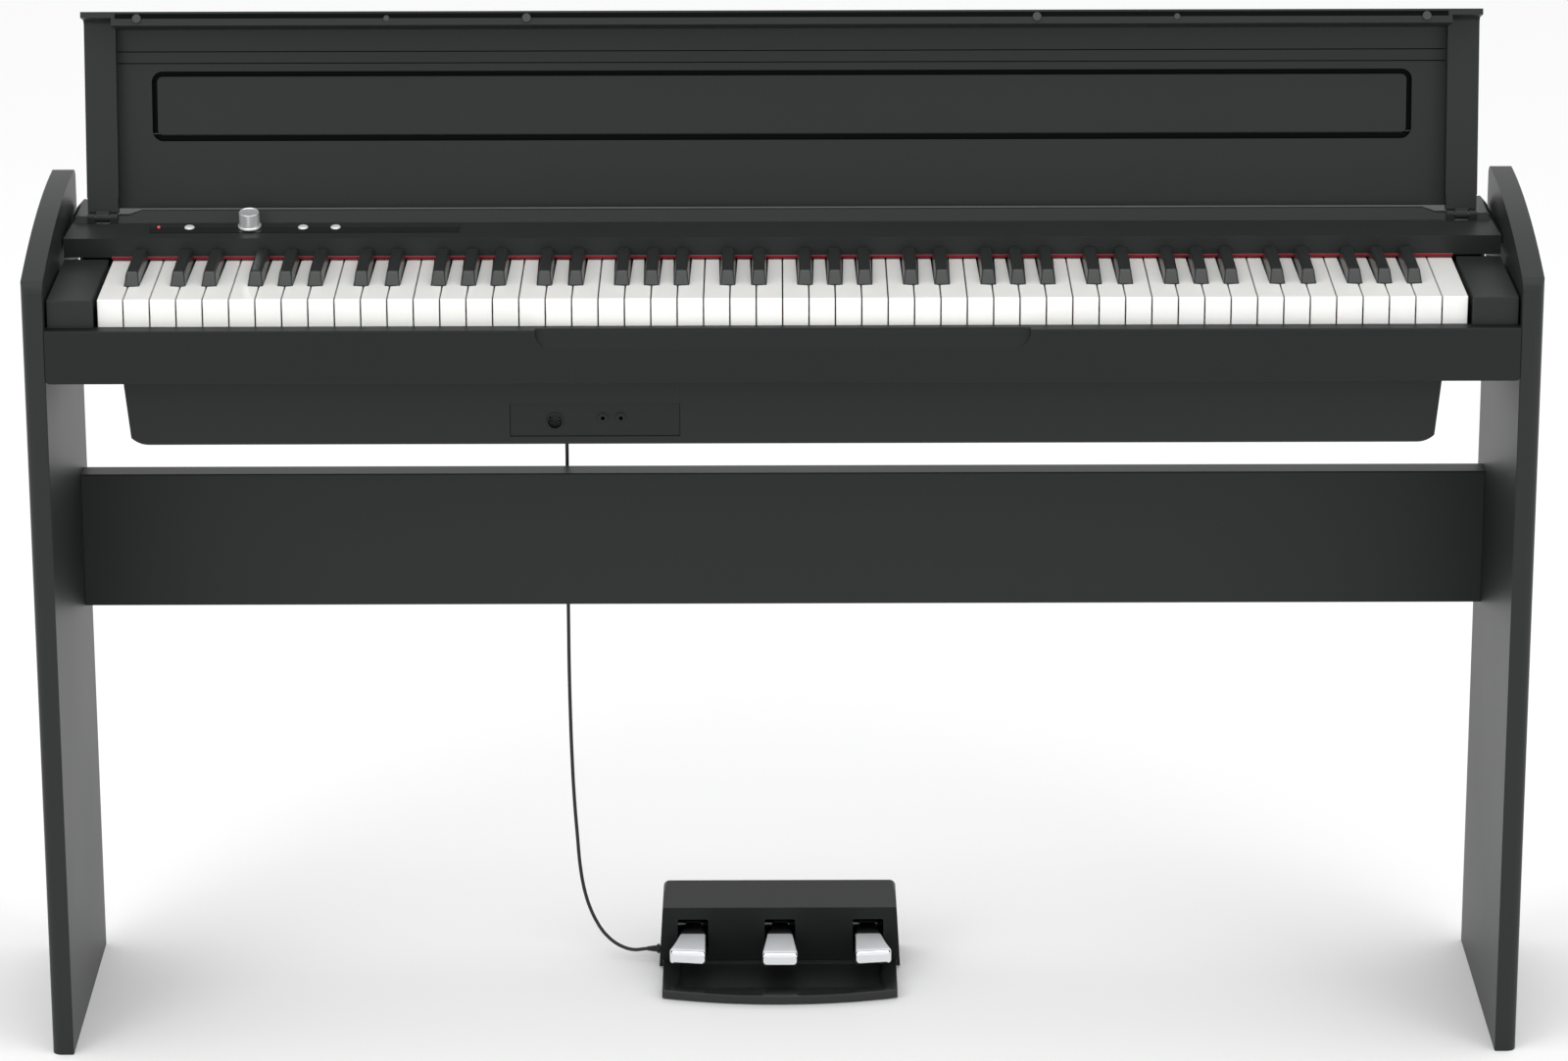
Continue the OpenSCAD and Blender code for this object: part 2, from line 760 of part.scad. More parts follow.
// The front is four boards round the socket opening, butted to the box behind
module speaker_box() {
    seam = 0.05;
    jack_end = jack_x + jack_len;
    color("#2b2f31") {
        along_y(box_d, box_d + box_wall - seam)
            difference() {
                box_outline(0);
                translate([jack_x, jack_z]) square([jack_len, jack_h]);
                translate([jack_x, box_z - 1]) square([seam, box_h + 2]);
                translate([jack_end - seam, box_z - 1]) square([seam, box_h + 2]);
            }
        difference() {
            along_y(box_d + box_wall, rear_d) box_outline(0);
            along_y(box_d + box_wall - 1, rear_d - box_wall)
                union() {
                    box_outline(box_wall);
                    translate([-box_half + box_wall, case_z - eps])
                        square([2 * (box_half - box_wall), 1]);
                }
            both_ends()
                translate([half_in - speaker_in, fy((box_d + rear_d) / 2), box_z - 1])
                    cylinder(h = box_wall + 2, r = speaker_d / 2 - 4, $fn = 96);
            translate([socket_x, fy(socket_d), box_z - 1]) cylinder(h = box_wall + 2, r = 8);
            rod_y(-half_in + 330, rear_d - box_wall - 1, rear_d + 1, box_z + 30, 6);
        }
    }
}

module jack_plate() {
    inset = 0.2;
    flange = 4;
    midi_x = jack_x + midi_from_end;
    color("#202324")
        difference() {
            union() {
                along_y(box_d + jack_sunk, box_d + box_wall)
                    translate([jack_x + inset, jack_z + inset])
                        square([jack_len - 2 * inset, jack_h - 2 * inset]);
                along_y(box_d + box_wall, box_d + box_wall + 2)
                    round_rect(jack_x - flange, max(jack_z - flange, box_z + box_wall),
                               jack_x + jack_len + flange, jack_z + jack_h + flange, [2, 2, 2, 2]);
            }
            rod_y(midi_x, box_d, box_d + 20, jack_z + 14, midi_d / 2);
            for (k = [0, 1])
                rod_y(jack_x + phones_from_end + k * phones_pitch, box_d, box_d + 20, jack_z + 17, 4);
        }
}

module midi_socket() {
    x = jack_x + midi_from_end;
    d0 = box_d + jack_sunk - 0.6;
    z = jack_z + 14;
    color("#15171a") {
        difference() {
            rod_y(x, d0, d0 + 20, z, midi_d / 2);
            rod_y(x, d0 - 1, d0 + 6, z, midi_d / 2 - 1.6);
        }
        for (k = [0 : 4])
            rod_y(x + 4.5 * cos(k * 45), d0 + 3, d0 + 7, z - 4.5 * sin(k * 45) + 1.5, 0.8);
    }
}

module headphone_sockets() {
    d0 = box_d + jack_sunk - 1;
    color("#c9cccf")
        for (k = [0, 1])
            difference() {
                x = jack_x + phones_from_end + k * phones_pitch;
                union() {
                    rod_y(x, d0, d0 + 1, jack_z + 17, 4.8);
                    rod_y(x, d0 + 1, d0 + phones_len + 4, jack_z + 17, 4);
                }
                rod_y(x, d0 - 1, d0 + phones_len, jack_z + 17, phones_d / 2);
            }
}

module rear_sockets() {
    dc_x = -half_in + 330;
    color("#15171a") {
        difference() {
            translate([socket_x, fy(socket_d), box_z]) cylinder(h = 20, r = 8);
            translate([socket_x, fy(socket_d), box_z - 1]) cylinder(h = 11, r = 4.5);
        }
        difference() {
            rod_y(dc_x, rear_d - 16, rear_d, box_z + 30, 6);
            rod_y(dc_x, rear_d - 10, rear_d + 1, box_z + 30, 2.75);
        }
        rod_y(dc_x, rear_d - 10, rear_d - 1.5, box_z + 30, 1);
    }
}

module speakers() {
    color("#1b1c1d")
        both_ends()
            translate([half_in - speaker_in, fy((box_d + rear_d) / 2), box_z + box_wall])
                rotate_extrude($fn = 96)
                    polygon([[0, 44], [24, 44], [24, 28], [20, 26], [speaker_d / 2 - 5, 3], [speaker_d / 2, 3],
                             [speaker_d / 2, 0], [speaker_d / 2 - 7, 0], [14, 21], [0, 21]]);
}

module main_board() {
    x0 = max(socket_x - 126, speaker_in + speaker_d / 2 + 6 - half_in);
    z0 = box_z + box_wall;
    color("#1d5a3a") {
        block(x0, x0 + 220, 70, 200, z0 + 12, z0 + 13.6);
        for (x = [x0 + 8, x0 + 212])
            for (d = [78, 192])
                translate([x, fy(d), z0]) cylinder(h = 12, r = 3);
        block(x0 + 80, x0 + 110, 120, 150, z0 + 13.6, z0 + 17);
        block(x0 + 20, x0 + 50, 160, 190, z0 + 13.6, z0 + 33);
        block(x0 + 150, x0 + 162, 100, 180, z0 + 13.6, z0 + 23);
    }
}

// ---------- panel electronics ----------

module panel_board() {
    x0 = from_left(lamp_from_left) - 12;
    x1 = from_left(song_from_left) + 14;
    color("#1d5a3a") {
        on_panel(0, 0) bar(x0, x1, 5, 30, -14, -12.4);
        on_panel(0, 0)
            for (x = [x0 + 2, x1 - 6])
                bar(x, x + 4, 7, 10, -12.4, -shell_wall);
        for (x = [power_from_left, sound_from_left, song_from_left])
            on_panel(from_left(x), control_up) bar(-3, 3, -3, 3, -12.4, -9.4);
    }
}

module volume_pot() {
    color("#9a9da0")
        on_panel(from_left(knob_from_left), control_up) {
            bar(-8, 8, -9, 5, -12.4, -shell_wall - 1);
            translate([0, 0, -shell_wall - 1]) cylinder(h = shell_wall, r = shaft_d / 2 + 1);
            translate([0, 0, -1]) cylinder(h = knob_h - 3, r = shaft_d / 2);
        }
}

module power_lamp() {
    color("#d21e2c")
        on_panel(from_left(lamp_from_left), control_up) {
            translate([0, 0, -12.4]) cylinder(h = 12.4 + inset_t, r = 1.6);
            translate([0, 0, inset_t])
                intersection() {
                    sphere(r = 1.6);
                    translate([-2, -2, 0]) cube([4, 4, 2]);
                }
        }
}

module volume_knob() {
    foot_h0 = 2.5;
    z0 = inset_t + 0.5;
    color("#c3c6c9")
        on_panel(from_left(knob_from_left), control_up)
            difference() {
                translate([0, 0, z0])
                    rotate_extrude($fn = 96)
                        polygon([[0, 0], [knob_foot_d / 2 - 0.5, 0], [knob_foot_d / 2, 0.5],
                                 [knob_foot_d / 2, foot_h0 - 0.8], [knob_d / 2, foot_h0],
                                 [knob_d / 2 - 0.3, knob_h - 1], [knob_d / 2 - 1.3, knob_h], [0, knob_h]]);
                translate([0, 0, z0 - 1]) cylinder(h = knob_h - 3, r = shaft_d / 2 + bore_clear);
            }
}

// Cap through the panel with a flange that keeps it in
module button_at(x) {
    color("#b5b8ba")
        on_panel(from_left(x), control_up) {
            translate([0, 0, -4]) cylinder(h = 4 + inset_t + button_h, r = button_d / 2);
            translate([0, 0, -5.5]) cylinder(h = 1.6, r = button_d / 2 + 1.4);
            translate([0, 0, -8.4]) cylinder(h = 3, r = 2);
        }
}

module power_button() { button_at(power_from_left); }

module sound_button() { button_at(sound_from_left); }

module song_button() { button_at(song_from_left); }

// ---------- keys ----------

// White keys count up from the lowest A; letter 0 is A and 6 is G
function letter(i) = i % 7;
function has_sharp(i) = letter(i) != 1 && letter(i) != 4;
function sharp_shift(i) = [3.3, 0, -2.3, 2.3, 0, -3.3, 0][letter(i)];
function key_x(i) = -keys_half + i * key_pitch;
function sharp_x(i) = key_x(i + 1) + sharp_shift(i);

// Left and right sides of a white key's narrow tail
function tail_left(i) = i > 0 && has_sharp(i - 1)
    ? sharp_x(i - 1) + sharp_w / 2 + sharp_gap
    : key_x(i) + key_gap / 2;
function tail_right(i) = i < white_n - 1 && has_sharp(i)
    ? sharp_x(i) - sharp_w / 2 - sharp_gap
    : key_x(i + 1) - key_gap / 2;

module key_arm(x) {
    difference() {
        union() {
            block(x - key_arm_w / 2, x + key_arm_w / 2, fallboard_d - 11, key_pivot_d,
                  key_pivot_z - key_arm_h / 2, key_pivot_z + key_arm_h / 2);
            rod_x(x - key_arm_w / 2, x + key_arm_w / 2, key_pivot_d, key_pivot_z, key_arm_h / 2);
        }
        rod_x(x - key_arm_w, x + key_arm_w, key_pivot_d, key_pivot_z, key_rod_d / 2 + bore_clear);
    }
}

module white_key(i) {
    x0 = key_x(i) + key_gap / 2;
    x1 = key_x(i + 1) - key_gap / 2;
    t0 = tail_left(i);
    t1 = tail_right(i);
    notch = sharp_front - sharp_gap;
    union() {
        along_z(key_top - key_t, key_top) {
            round_rect(x0, key_front, x1, notch, [0.8, 0.8, 0, 0]);
            translate([t0, notch - 1]) square([t1 - t0, fallboard_d + 7 - notch]);
        }
        block(x0, x1, key_front, key_front + key_lip_t, key_top - key_lip_h, key_top - key_t);
        key_arm((t0 + t1) / 2);
    }
}

module black_key(i) {
    x = sharp_x(i);
    foot = key_top - key_t - 4;
    waist = key_top + 0.5;
    union() {
        intersection() {
            along_x(x - sharp_w, x + sharp_w)
                polygon([[sharp_front, foot], [sharp_front, waist], [sharp_front + sharp_slope, key_top + sharp_h],
                         [sharp_end, key_top + sharp_h], [sharp_end, foot]]);
            along_y(sharp_front - 1, sharp_end + 1)
                polygon([[x - sharp_w / 2, foot], [x + sharp_w / 2, foot], [x + sharp_w / 2, waist],
                         [x + sharp_top_w / 2, key_top + sharp_h], [x - sharp_top_w / 2, key_top + sharp_h],
                         [x - sharp_w / 2, waist]]);
        }
        key_arm(x);
    }
}

module white_keys(n) {
    color("#f2f1ec") for (i = [n : 7 : white_n - 1]) white_key(i);
}

module black_keys(n) {
    color("#1a1c1d") for (i = [n : 7 : white_n - 2]) black_key(i);
}

module keys_a() { white_keys(0); }
module keys_a_sharp() { black_keys(0); }
module keys_b() { white_keys(1); }
module keys_c() { white_keys(2); }
module keys_c_sharp() { black_keys(2); }
module keys_d() { white_keys(3); }
module keys_d_sharp() { black_keys(3); }
module keys_e() { white_keys(4); }
module keys_f() { white_keys(5); }
module keys_f_sharp() { black_keys(5); }
module keys_g() { white_keys(6); }
module keys_g_sharp() { black_keys(6); }

// Where two white keys meet with no black key between, a post holds the pivot rod
function post_places() = concat(
    [-keys_half + 2.5, keys_half - 2.5],
    [for (i = [0 : white_n - 2]) if (!has_sharp(i)) key_x(i + 1)]
);

module key_frame() {
    post_w = 4;
    color("#4a4d50")
        difference() {
            union() {
                along_x(-keys_half, keys_half)
                    polygon([[30, keybed_top], [key_pivot_d + 12, keybed_top], [key_pivot_d + 12, keybed_top + 2],
                             [94, keybed_top + 2], [94, key_top - 28], [76, key_top - 28], [76, keybed_top + 2],
                             [52, keybed_top + 2], [52, key_top - 26], [34, key_top - 26], [34, keybed_top + 2],
                             [30, keybed_top + 2]]);
                for (x = post_places())
                    block(x - post_w / 2, x + post_w / 2, key_pivot_d - 10, key_pivot_d + 10,
                          keybed_top + 1, key_pivot_z + 8);
            }
            rod_x(-keys_half - 1, keys_half + 1, key_pivot_d, key_pivot_z, key_rod_d / 2);
        }
}

module key_pivot_rod() {
    color("#a8abae") rod_x(-keys_half, keys_half, key_pivot_d, key_pivot_z, key_rod_d / 2);
}

module key_sensor_board() {
    color("#1d5a3a") {
        block(-keys_half, keys_half, 110, 170, keybed_top + 14, keybed_top + 15.6);
        block(-keys_half + 5, keys_half - 5, 150, 158, keybed_top + 15.6, keybed_top + 34);
        for (x = [-keys_half + 2 : (2 * keys_half - 10) / 6 : keys_half])
            block(x, x + 6, 112, 118, keybed_top + 2, keybed_top + 14);
    }
}

module key_felts() {
    color("#a3182a") {
        block(-keys_half, keys_half, fallboard_d - felt_t, fallboard_d, fallboard_z - 1.5, fallboard_z - 1.5 + felt_h);
        block(-keys_half, keys_half, 36, 50, key_top - 26, key_top - 22.5);
        block(-keys_half, keys_half, 78, 92, key_top - 28, key_top - 24.5);
    }
}

// ---------- lid ----------

function face_at(y) = face_z + (y - face_y) * tan(face_slope);
function cheek_at(y) = cheek_z + (y - face_y) * tan(cheek_slope);

module lid_front_cut() {
    top_z = face_at(lip_y0) + lid_t / cos(face_slope);
    cz = top_z + lid_r * tan(face_slope) - lid_r / cos(face_slope);
    crest_cut(lip_y0 + lid_r, cz, lid_r, lip_y0 - 1, lip_y0 + lid_r * (1 - sin(face_slope)), cz + 3 * lid_r);
}

module lid_section() {
    up = lid_t / cos(face_slope);
    difference() {
        polygon([
            [lid_rear_y, face_at(lid_rear_y)], [lid_rear_y, face_at(lid_rear_y) + up],
            [lip_y0, face_at(lip_y0) + up], [lip_y0, lip_z], [lip_y1, lip_z], [lip_y1, face_at(lip_y1)]
        ]);
        lid_front_cut();
    }
}

// A cheek, with the thin end of the lip and a hollow curve between them
module cheek_section() {
    up = lid_t / cos(face_slope);
    end_y = lip_y0 + lip_end_t;
    cy = end_y + lip_end_r;
    cz = cheek_at(cy) - lip_end_r / cos(cheek_slope);
    far = lip_end_r + 2;
    difference() {
        union() {
            polygon([
                [face_y, cheek_z], [face_y, face_at(face_y)], [lid_rear_y, face_at(lid_rear_y)],
                [lid_rear_y, face_at(lid_rear_y) + up], [lip_y0, face_at(lip_y0) + up],
                [lip_y0, lip_z], [end_y, lip_z], [end_y, cheek_at(end_y)]
            ]);
            difference() {
                polygon([[cy, cz], [end_y - 1, cz], [end_y - 1, cheek_at(end_y) + 2],
                         [cy - far * sin(cheek_slope), cz + far * cos(cheek_slope)]]);
                translate([cy, cz]) circle(r = lip_end_r);
            }
        }
        lid_front_cut();
    }
}

module rest_outline(gap) {
    x = half_in - rest_side_gap - gap;
    r = rest_r - gap;
    round_rect(-x, -rest_from_hinge - rest_h + gap, x, -rest_from_hinge - gap, [r, r, r, r]);
}

rest_axis_y = -rest_from_hinge - rest_gap - rest_t / 2;
rest_axis_z = 0.2 + rest_t / 2;
rest_pin_r = 0.9;

module lid_strip_bar() {
    translate([lip_y0 + strip_in, lip_z]) square([strip_w, strip_t]);
}

module hinge_eye_section() {
    union() {
        circle(r = hinge_eye_r);
        translate([boss_y - 1, -3]) square([1 - boss_y, 3 + hinge_eye_r]);
    }
}

module lid_shell() {
    rest_x = half_in - rest_side_gap;
    color("#2c3031")
        difference() {
            union() {
                in_lid() lid_bar(cheek_w - lid_half - 1, lid_half - cheek_w + 1) lid_section();
                for (s = [-1, 1])
                    in_lid() {
                        lid_bar(s > 0 ? lid_half - cheek_w : -lid_half, s > 0 ? lid_half : cheek_w - lid_half)
                            cheek_section();
                        lid_bar(s * hinge_x - hinge_half, s * hinge_x + hinge_half)
                            polygon([[face_y, cheek_z], [boss_y, 0.4], [boss_y, 12], [face_y, 14]]);
                        lid_bar(s * hinge_x - hinge_eye_w / 2, s * hinge_x + hinge_eye_w / 2)
                            hinge_eye_section();
                    }
            }
            for (s = [-1, 1])
                in_lid()
                    lid_bar(s * hinge_x - hinge_half, s * hinge_x + hinge_half)
                        circle(r = hinge_pin_d / 2 + bore_clear);
            on_lid_face() translate([0, 0, -1]) linear_extrude(1 + rest_t + 0.4) rest_outline(0);
            on_lid_face()
                for (s = [-1, 1])
                    translate([s * rest_x - 6, rest_axis_y, rest_axis_z])
                        rotate([0, 90, 0]) cylinder(h = 12, r = rest_pin_r);
            in_lid() lid_bar(-strip_half, strip_half) lid_strip_bar();
            for (y = mould_lines)
                on_lid_face() bar(cheek_w - lid_half, lid_half - cheek_w, y - 0.5, y + 0.5, -1, 0.4);
        }
}

module lid_edge_strip() {
    color("#1d2021") in_lid() lid_bar(-strip_half, strip_half) lid_strip_bar();
}

module lid_pads() {
    mid = (lip_y0 + lip_y1) / 2;
    outer = half_in - pad_outer_in;
    color("#141516")
        for (x = [-outer, -pad_inner_half, pad_inner_half, outer])
            in_lid() translate([x, mid, lip_z - pad_h]) cylinder(h = pad_h, r = pad_d / 2);
}

// Fixed hinge bodies in the pockets of the control panel
module lid_hinges() {
    ear0 = hinge_eye_w / 2 + hinge_gap;
    color("#1a1c1d")
        for (s = [-1, 1])
            translate([s * hinge_x, fy(pivot_d), pivot_z])
                difference() {
                    union() {
                        bar(-hinge_half, hinge_half, -4.8, 12, -7.5, -5.2);
                        for (e = [-1, 1]) {
                            translate([e > 0 ? ear0 : -hinge_half + 0.2, 0, 0])
                                rotate([0, 90, 0]) cylinder(h = hinge_half - 0.2 - ear0, r = hinge_eye_r - 0.2);
                            bar(e > 0 ? ear0 : -hinge_half + 0.2, e > 0 ? hinge_half - 0.2 : -ear0,
                                -hinge_eye_r + 0.2, hinge_eye_r - 0.2, -6, 0);
                        }
                    }
                    translate([-hinge_half - 1, 0, 0])
                        rotate([0, 90, 0]) cylinder(h = 2 * hinge_half + 2, r = hinge_pin_d / 2);
                }
}

module hinge_pins() {
    color("#c8cacc")
        for (s = [-1, 1])
            rod_x(s * hinge_x - hinge_half + 0.2, s * hinge_x + hinge_half - 0.2,
                  pivot_d, pivot_z, hinge_pin_d / 2);
}

module music_rest() {
    x = half_in - rest_side_gap - rest_gap;
    color("#303436")
        on_lid_face()
            difference() {
                union() {
                    translate([0, 0, 0.2])
                        difference() {
                            linear_extrude(rest_t) rest_outline(rest_gap);
                            bar(-x - 1, x + 1, rest_axis_y, rest_axis_y + rest_t, -1, rest_t + 1);
                        }
                    translate([-x + 3, rest_axis_y, rest_axis_z])
                        rotate([0, 90, 0]) cylinder(h = 2 * x - 6, r = rest_t / 2);
                }
                for (s = [-1, 1])
                    translate([s * (x - 8) - 10, rest_axis_y, rest_axis_z])
                        rotate([0, 90, 0]) cylinder(h = 20, r = rest_pin_r + bore_clear);
            }
}

module music_rest_pins() {
    x = half_in - rest_side_gap;
    color("#c8cacc")
        on_lid_face()
            for (s = [-1, 1])
                translate([s > 0 ? x - rest_gap - 16 : -x - 5, rest_axis_y, rest_axis_z])
                    rotate([0, 90, 0]) cylinder(h = rest_gap + 21, r = rest_pin_r);
}

// ---------- pedal unit ----------

module base_plan(inset) {
    half = base_w / 2 - inset;
    r = (pow(base_w / 2, 2) + pow(base_bulge, 2)) / (2 * base_bulge);
    translate([pedal_x, 0])
        intersection() {
            round_rect(-half, pedal_d + inset, half, base_end - inset, [16, 16, 4, 4]);
            translate([0, pedal_d + r]) circle(r = r - inset, $fn = 240);
        }
}

module pedal_base() {
    tray_end = cover_d - 2;
    color("#1f2122")
        difference() {
            union() {
                along_z(foot_h, base_z) base_plan(0);
                for (x = tower_places)
                    block(x - 2.5, x + 2.5, axle_y - 8, axle_y + 8, base_z - 1, axle_z + 8);
            }
            along_z(base_z - tray_h, base_z + 1)
                translate([pedal_x, 0])
                    round_rect(-base_w / 2 + 16, pedal_d + 22, base_w / 2 - 16, tray_end, [10, 10, 0, 0]);
            rod_x(neck_x(0) - 25, neck_x(2) + 25, axle_y, axle_z, axle_d / 2);
        }
}

module cover_section(inset) {
    lean = 2;
    polygon([
        [cover_d + inset + lean, cover_gap - inset], [cover_d + inset, cover_z - inset],
        [base_end - 4 - inset, cover_rear_z - inset], [base_end + 3 - inset, cover_gap - inset]
    ]);
}

module cover_front(inset) {
    top = cover_rear_z - inset;
    foot = cover_w / 2 - inset;
    head = cover_w / 2 - cover_lean - inset;
    a = atan2(foot - head, top - cover_gap + inset);
    r = cover_r;
    x = head + r * tan(a) - r / cos(a);
    translate([pedal_x, 0])
        difference() {
            polygon([[-foot, cover_gap - inset], [foot, cover_gap - inset], [head, top], [-head, top]]);
            for (s = [-1, 1])
                difference() {
                    polygon([[s * x, top - r], [s * (x + (r + 2) * cos(a)), top - r + (r + 2) * sin(a)],
                             [s * (head + 3), top + 2], [s * x, top + 2]]);
                    translate([s * x, top - r]) circle(r = r);
                }
        }
}

function pedal_places() = [-pedal_pitch, 0, pedal_pitch];
// Middle of the neck of the left, middle and right pedal
function neck_x(k) = [-pedal_pitch + 0.5, 0.25, pedal_pitch + 1][k] + pedal_x;
// A post on each side of every pedal carries the axle
tower_places = [for (k = [0, 1, 2]) each [neck_x(k) - 17.5, neck_x(k) + 20]];

module pedal_cover() {
    slot_half = pedal_w / 2 + slot_gap;
    color("#242728")
        difference() {
            union() {
                difference() {
                    intersection() {
                        along_x(pedal_x - cover_w, pedal_x + cover_w) cover_section(0);
                        along_y(cover_d - 5, base_end + 8) cover_front(0);
                    }
                    intersection() {
                        along_x(pedal_x - cover_w, pedal_x + cover_w) cover_section(cover_wall);
                        along_y(cover_d - 5, base_end + 8) cover_front(cover_wall);
                    }
                }
                for (x = [-107, 107])
                    for (d = [cover_d + 14, base_end - 5])
                        intersection() {
                            translate([pedal_x + x, fy(d), base_z]) cylinder(h = cover_z - base_z, r = 3.5);
                            along_x(pedal_x - cover_w, pedal_x + cover_w) cover_section(1);
                            along_y(cover_d - 5, base_end + 8) cover_front(1);
                        }
            }
            for (k = [0, 1, 2])
                along_y(cover_d - 2, cover_d + 8)
                    round_rect(neck_x(k) - slot_half, 15, neck_x(k) + slot_half, pedal_z + 13, [2, 2, 2, 2]);
            rod_x(gland_x - 5, gland_x + 8, gland_d, gland_z, 3);
            along_z(-1, base_z) base_plan(-0.4);
        }
}

// Half-width of a flared pedal, from the slot (0) to its front (1)
function flare(t) = (pedal_front_w - pedal_w) * t * t * (3 - 2 * t);

// Plan of a pedal: reach, how much of the flare goes left and right
module pedal_plan(reach, left, right) {
    steps = 8;
    front = cover_d - reach;
    back = cover_d - 2;
    corner = 4;
    function at(t) = back - t * (back - front - corner);
    difference() {
        union() {
            polygon(concat(
                [for (k = [0 : steps]) [-pedal_w / 2 - left * flare(k / steps), at(k / steps)]],
                [[-pedal_w / 2 - left * flare(1), front + left * corner * 0.6],
                 [-left * 3 + right * 3, front],
                 [pedal_w / 2 + right * flare(1), front + right * corner * 0.6]],
                [for (k = [steps : -1 : 0]) [pedal_w / 2 + right * flare(k / steps), at(k / steps)]]
            ));
            translate([-8, back - 1]) square([16, axle_y - back + 1]);
        }
    }
}

module pedal_solid(k, reach, left, right) {
    x = neck_x(k);
    front = cover_d - reach;
    bottom = pedal_z - pedal_t;
    color("#d9dcde")
        difference() {
            union() {
                intersection() {
                    along_z(bottom - 2, pedal_z + 2) translate([x, 0]) pedal_plan(reach, left, right);
                    along_x(x - 40, x + 40)
                        round_rect(front - 1, bottom, axle_y, pedal_z, [4, 0, 0, 7]);
                }
                rod_x(x - 8, x + 8, axle_y, axle_z, 8);
            }
            rod_x(x - 10, x + 10, axle_y, axle_z, axle_d / 2 + bore_clear);
        }
}

module left_pedal() { pedal_solid(0, pedal_reach, 1, 0.05); }

module middle_pedal() { pedal_solid(1, pedal_reach + pedal_extra, 0.5, 0.5); }

module right_pedal() { pedal_solid(2, pedal_reach, 0.05, 1); }

module pedal_axle() {
    color("#b9bcbf") rod_x(neck_x(0) - 20, neck_x(2) + 22.5, axle_y, axle_z, axle_d / 2);
}

// Torsion coils on the axle beside each pedal, each with one leg to the base
module pedal_springs() {
    turn_r = axle_d / 2 + 0.3 + wire_d / 2;
    color("#c8cacc")
        for (k = [0, 1, 2]) {
            x0 = neck_x(k) + 9;
            translate([x0 + 0.8, fy(axle_y), axle_z])
                rotate([0, 90, 0])
                    rotate_extrude()
                        for (j = [0 : 4])
                            translate([turn_r, j * (wire_d - 0.1)]) circle(r = wire_d / 2, $fn = 24);
            block(x0 + 0.1, x0 + 1.5, axle_y + turn_r - 0.7, axle_y + turn_r + 0.7, base_z, axle_z + 1);
        }
}

module pedal_switches() {
    d0 = cover_d + 17;
    color("#1d5a3a") {
        block(pedal_x - 95, pedal_x + 98, d0, d0 + 16, base_z, base_z + 1.6);
        for (k = [0, 1, 2])
            block(neck_x(k) - 4, neck_x(k) + 4, d0 + 4, d0 + 12, base_z + 1.6, base_z + 9);
    }
}

module pedal_feet() {
    half = base_w / 2 - 18;
    color("#101112")
        for (x = [-half, half])
            for (d = [pedal_d + 42, base_end - 16])
                translate([pedal_x + x, fy(d), 0]) cylinder(h = foot_h, r = foot_d / 2);
}

// ---------- pedal cord ----------

module cord_gland() {
    relief = 9.6;
    color("#101112")
        translate([gland_x, fy(gland_d), gland_z])
            rotate([0, -90, 0]) {
                translate([0, 0, -3]) cylinder(h = 4, r = 3);
                cylinder(h = 2.6, r = 4.6);
                translate([0, 0, 2.6]) cylinder(h = relief, r1 = 3.4, r2 = cord_d / 2 + 0.4);
            }
}

module pedal_plug() {
    relief = 14;
    color("#141516")
        translate([socket_x, fy(socket_d), box_z]) {
            cylinder(h = 9, r = 4.5);
            translate([0, 0, -plug_len]) cylinder(h = plug_len, r = plug_d / 2);
            translate([0, 0, -plug_len - relief])
                cylinder(h = relief, r1 = cord_d / 2 + 0.3, r2 = 3.6);
        }
}

function unit(v) = v / norm(v);
function heading(k) = unit(CORD[min(k + 1, len(CORD) - 1)] - CORD[max(k - 1, 0)]);

// One tube swept along the route, eight sides, closed at both ends
module pedal_cord() {
    sides = 8;
    n = len(CORD);
    r = cord_d / 2;
    function ring(k) = let (
        t = heading(k),
        u = unit(cross(t, [0, 1, 0.05])),
        w = cross(t, u)
    ) [for (a = [0 : sides - 1])
        CORD[k] + r * cos(a * 360 / sides) * u + r * sin(a * 360 / sides) * w];
    points = [for (k = [0 : n - 1]) each ring(k)];
    tube = [
        for (k = [0 : n - 2]) for (a = [0 : sides - 1])
            let (b = (a + 1) % sides)
                each [[k * sides + a, k * sides + b, (k + 1) * sides + b],
                      [k * sides + a, (k + 1) * sides + b, (k + 1) * sides + a]]
    ];
    color("#0d0e0f")
        translate([0, -overall_d / 2, 0])
            polyhedron(points = points, faces = concat(tube, [
                [for (a = [sides - 1 : -1 : 0]) a],
                [for (a = [0 : sides - 1]) (n - 1) * sides + a]
            ]));
}

left_side_panel();
right_side_panel();
rear_stretcher();
stand_brackets();
stand_bolts();
keybed_board();
front_rail();
key_blocks();
control_panel();
panel_inset();
rear_cover();
speaker_box();
jack_plate();
midi_socket();
headphone_sockets();
rear_sockets();
speakers();
main_board();
panel_board();
volume_pot();
power_lamp();
key_frame();
key_pivot_rod();
key_sensor_board();
key_felts();
keys_a();
keys_a_sharp();
keys_b();
keys_c();
keys_c_sharp();
keys_d();
keys_d_sharp();
keys_e();
keys_f();
keys_f_sharp();
keys_g();
keys_g_sharp();
lid_shell();
lid_edge_strip();
lid_pads();
lid_hinges();
hinge_pins();
music_rest();
music_rest_pins();
volume_knob();
power_button();
sound_button();
song_button();
pedal_base();
pedal_cover();
left_pedal();
middle_pedal();
right_pedal();
pedal_axle();
pedal_springs();
pedal_switches();
pedal_feet();
cord_gland();
pedal_cord();
pedal_plug();
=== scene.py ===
import json
import math

import bmesh
import bpy
from mathutils import Matrix, Vector


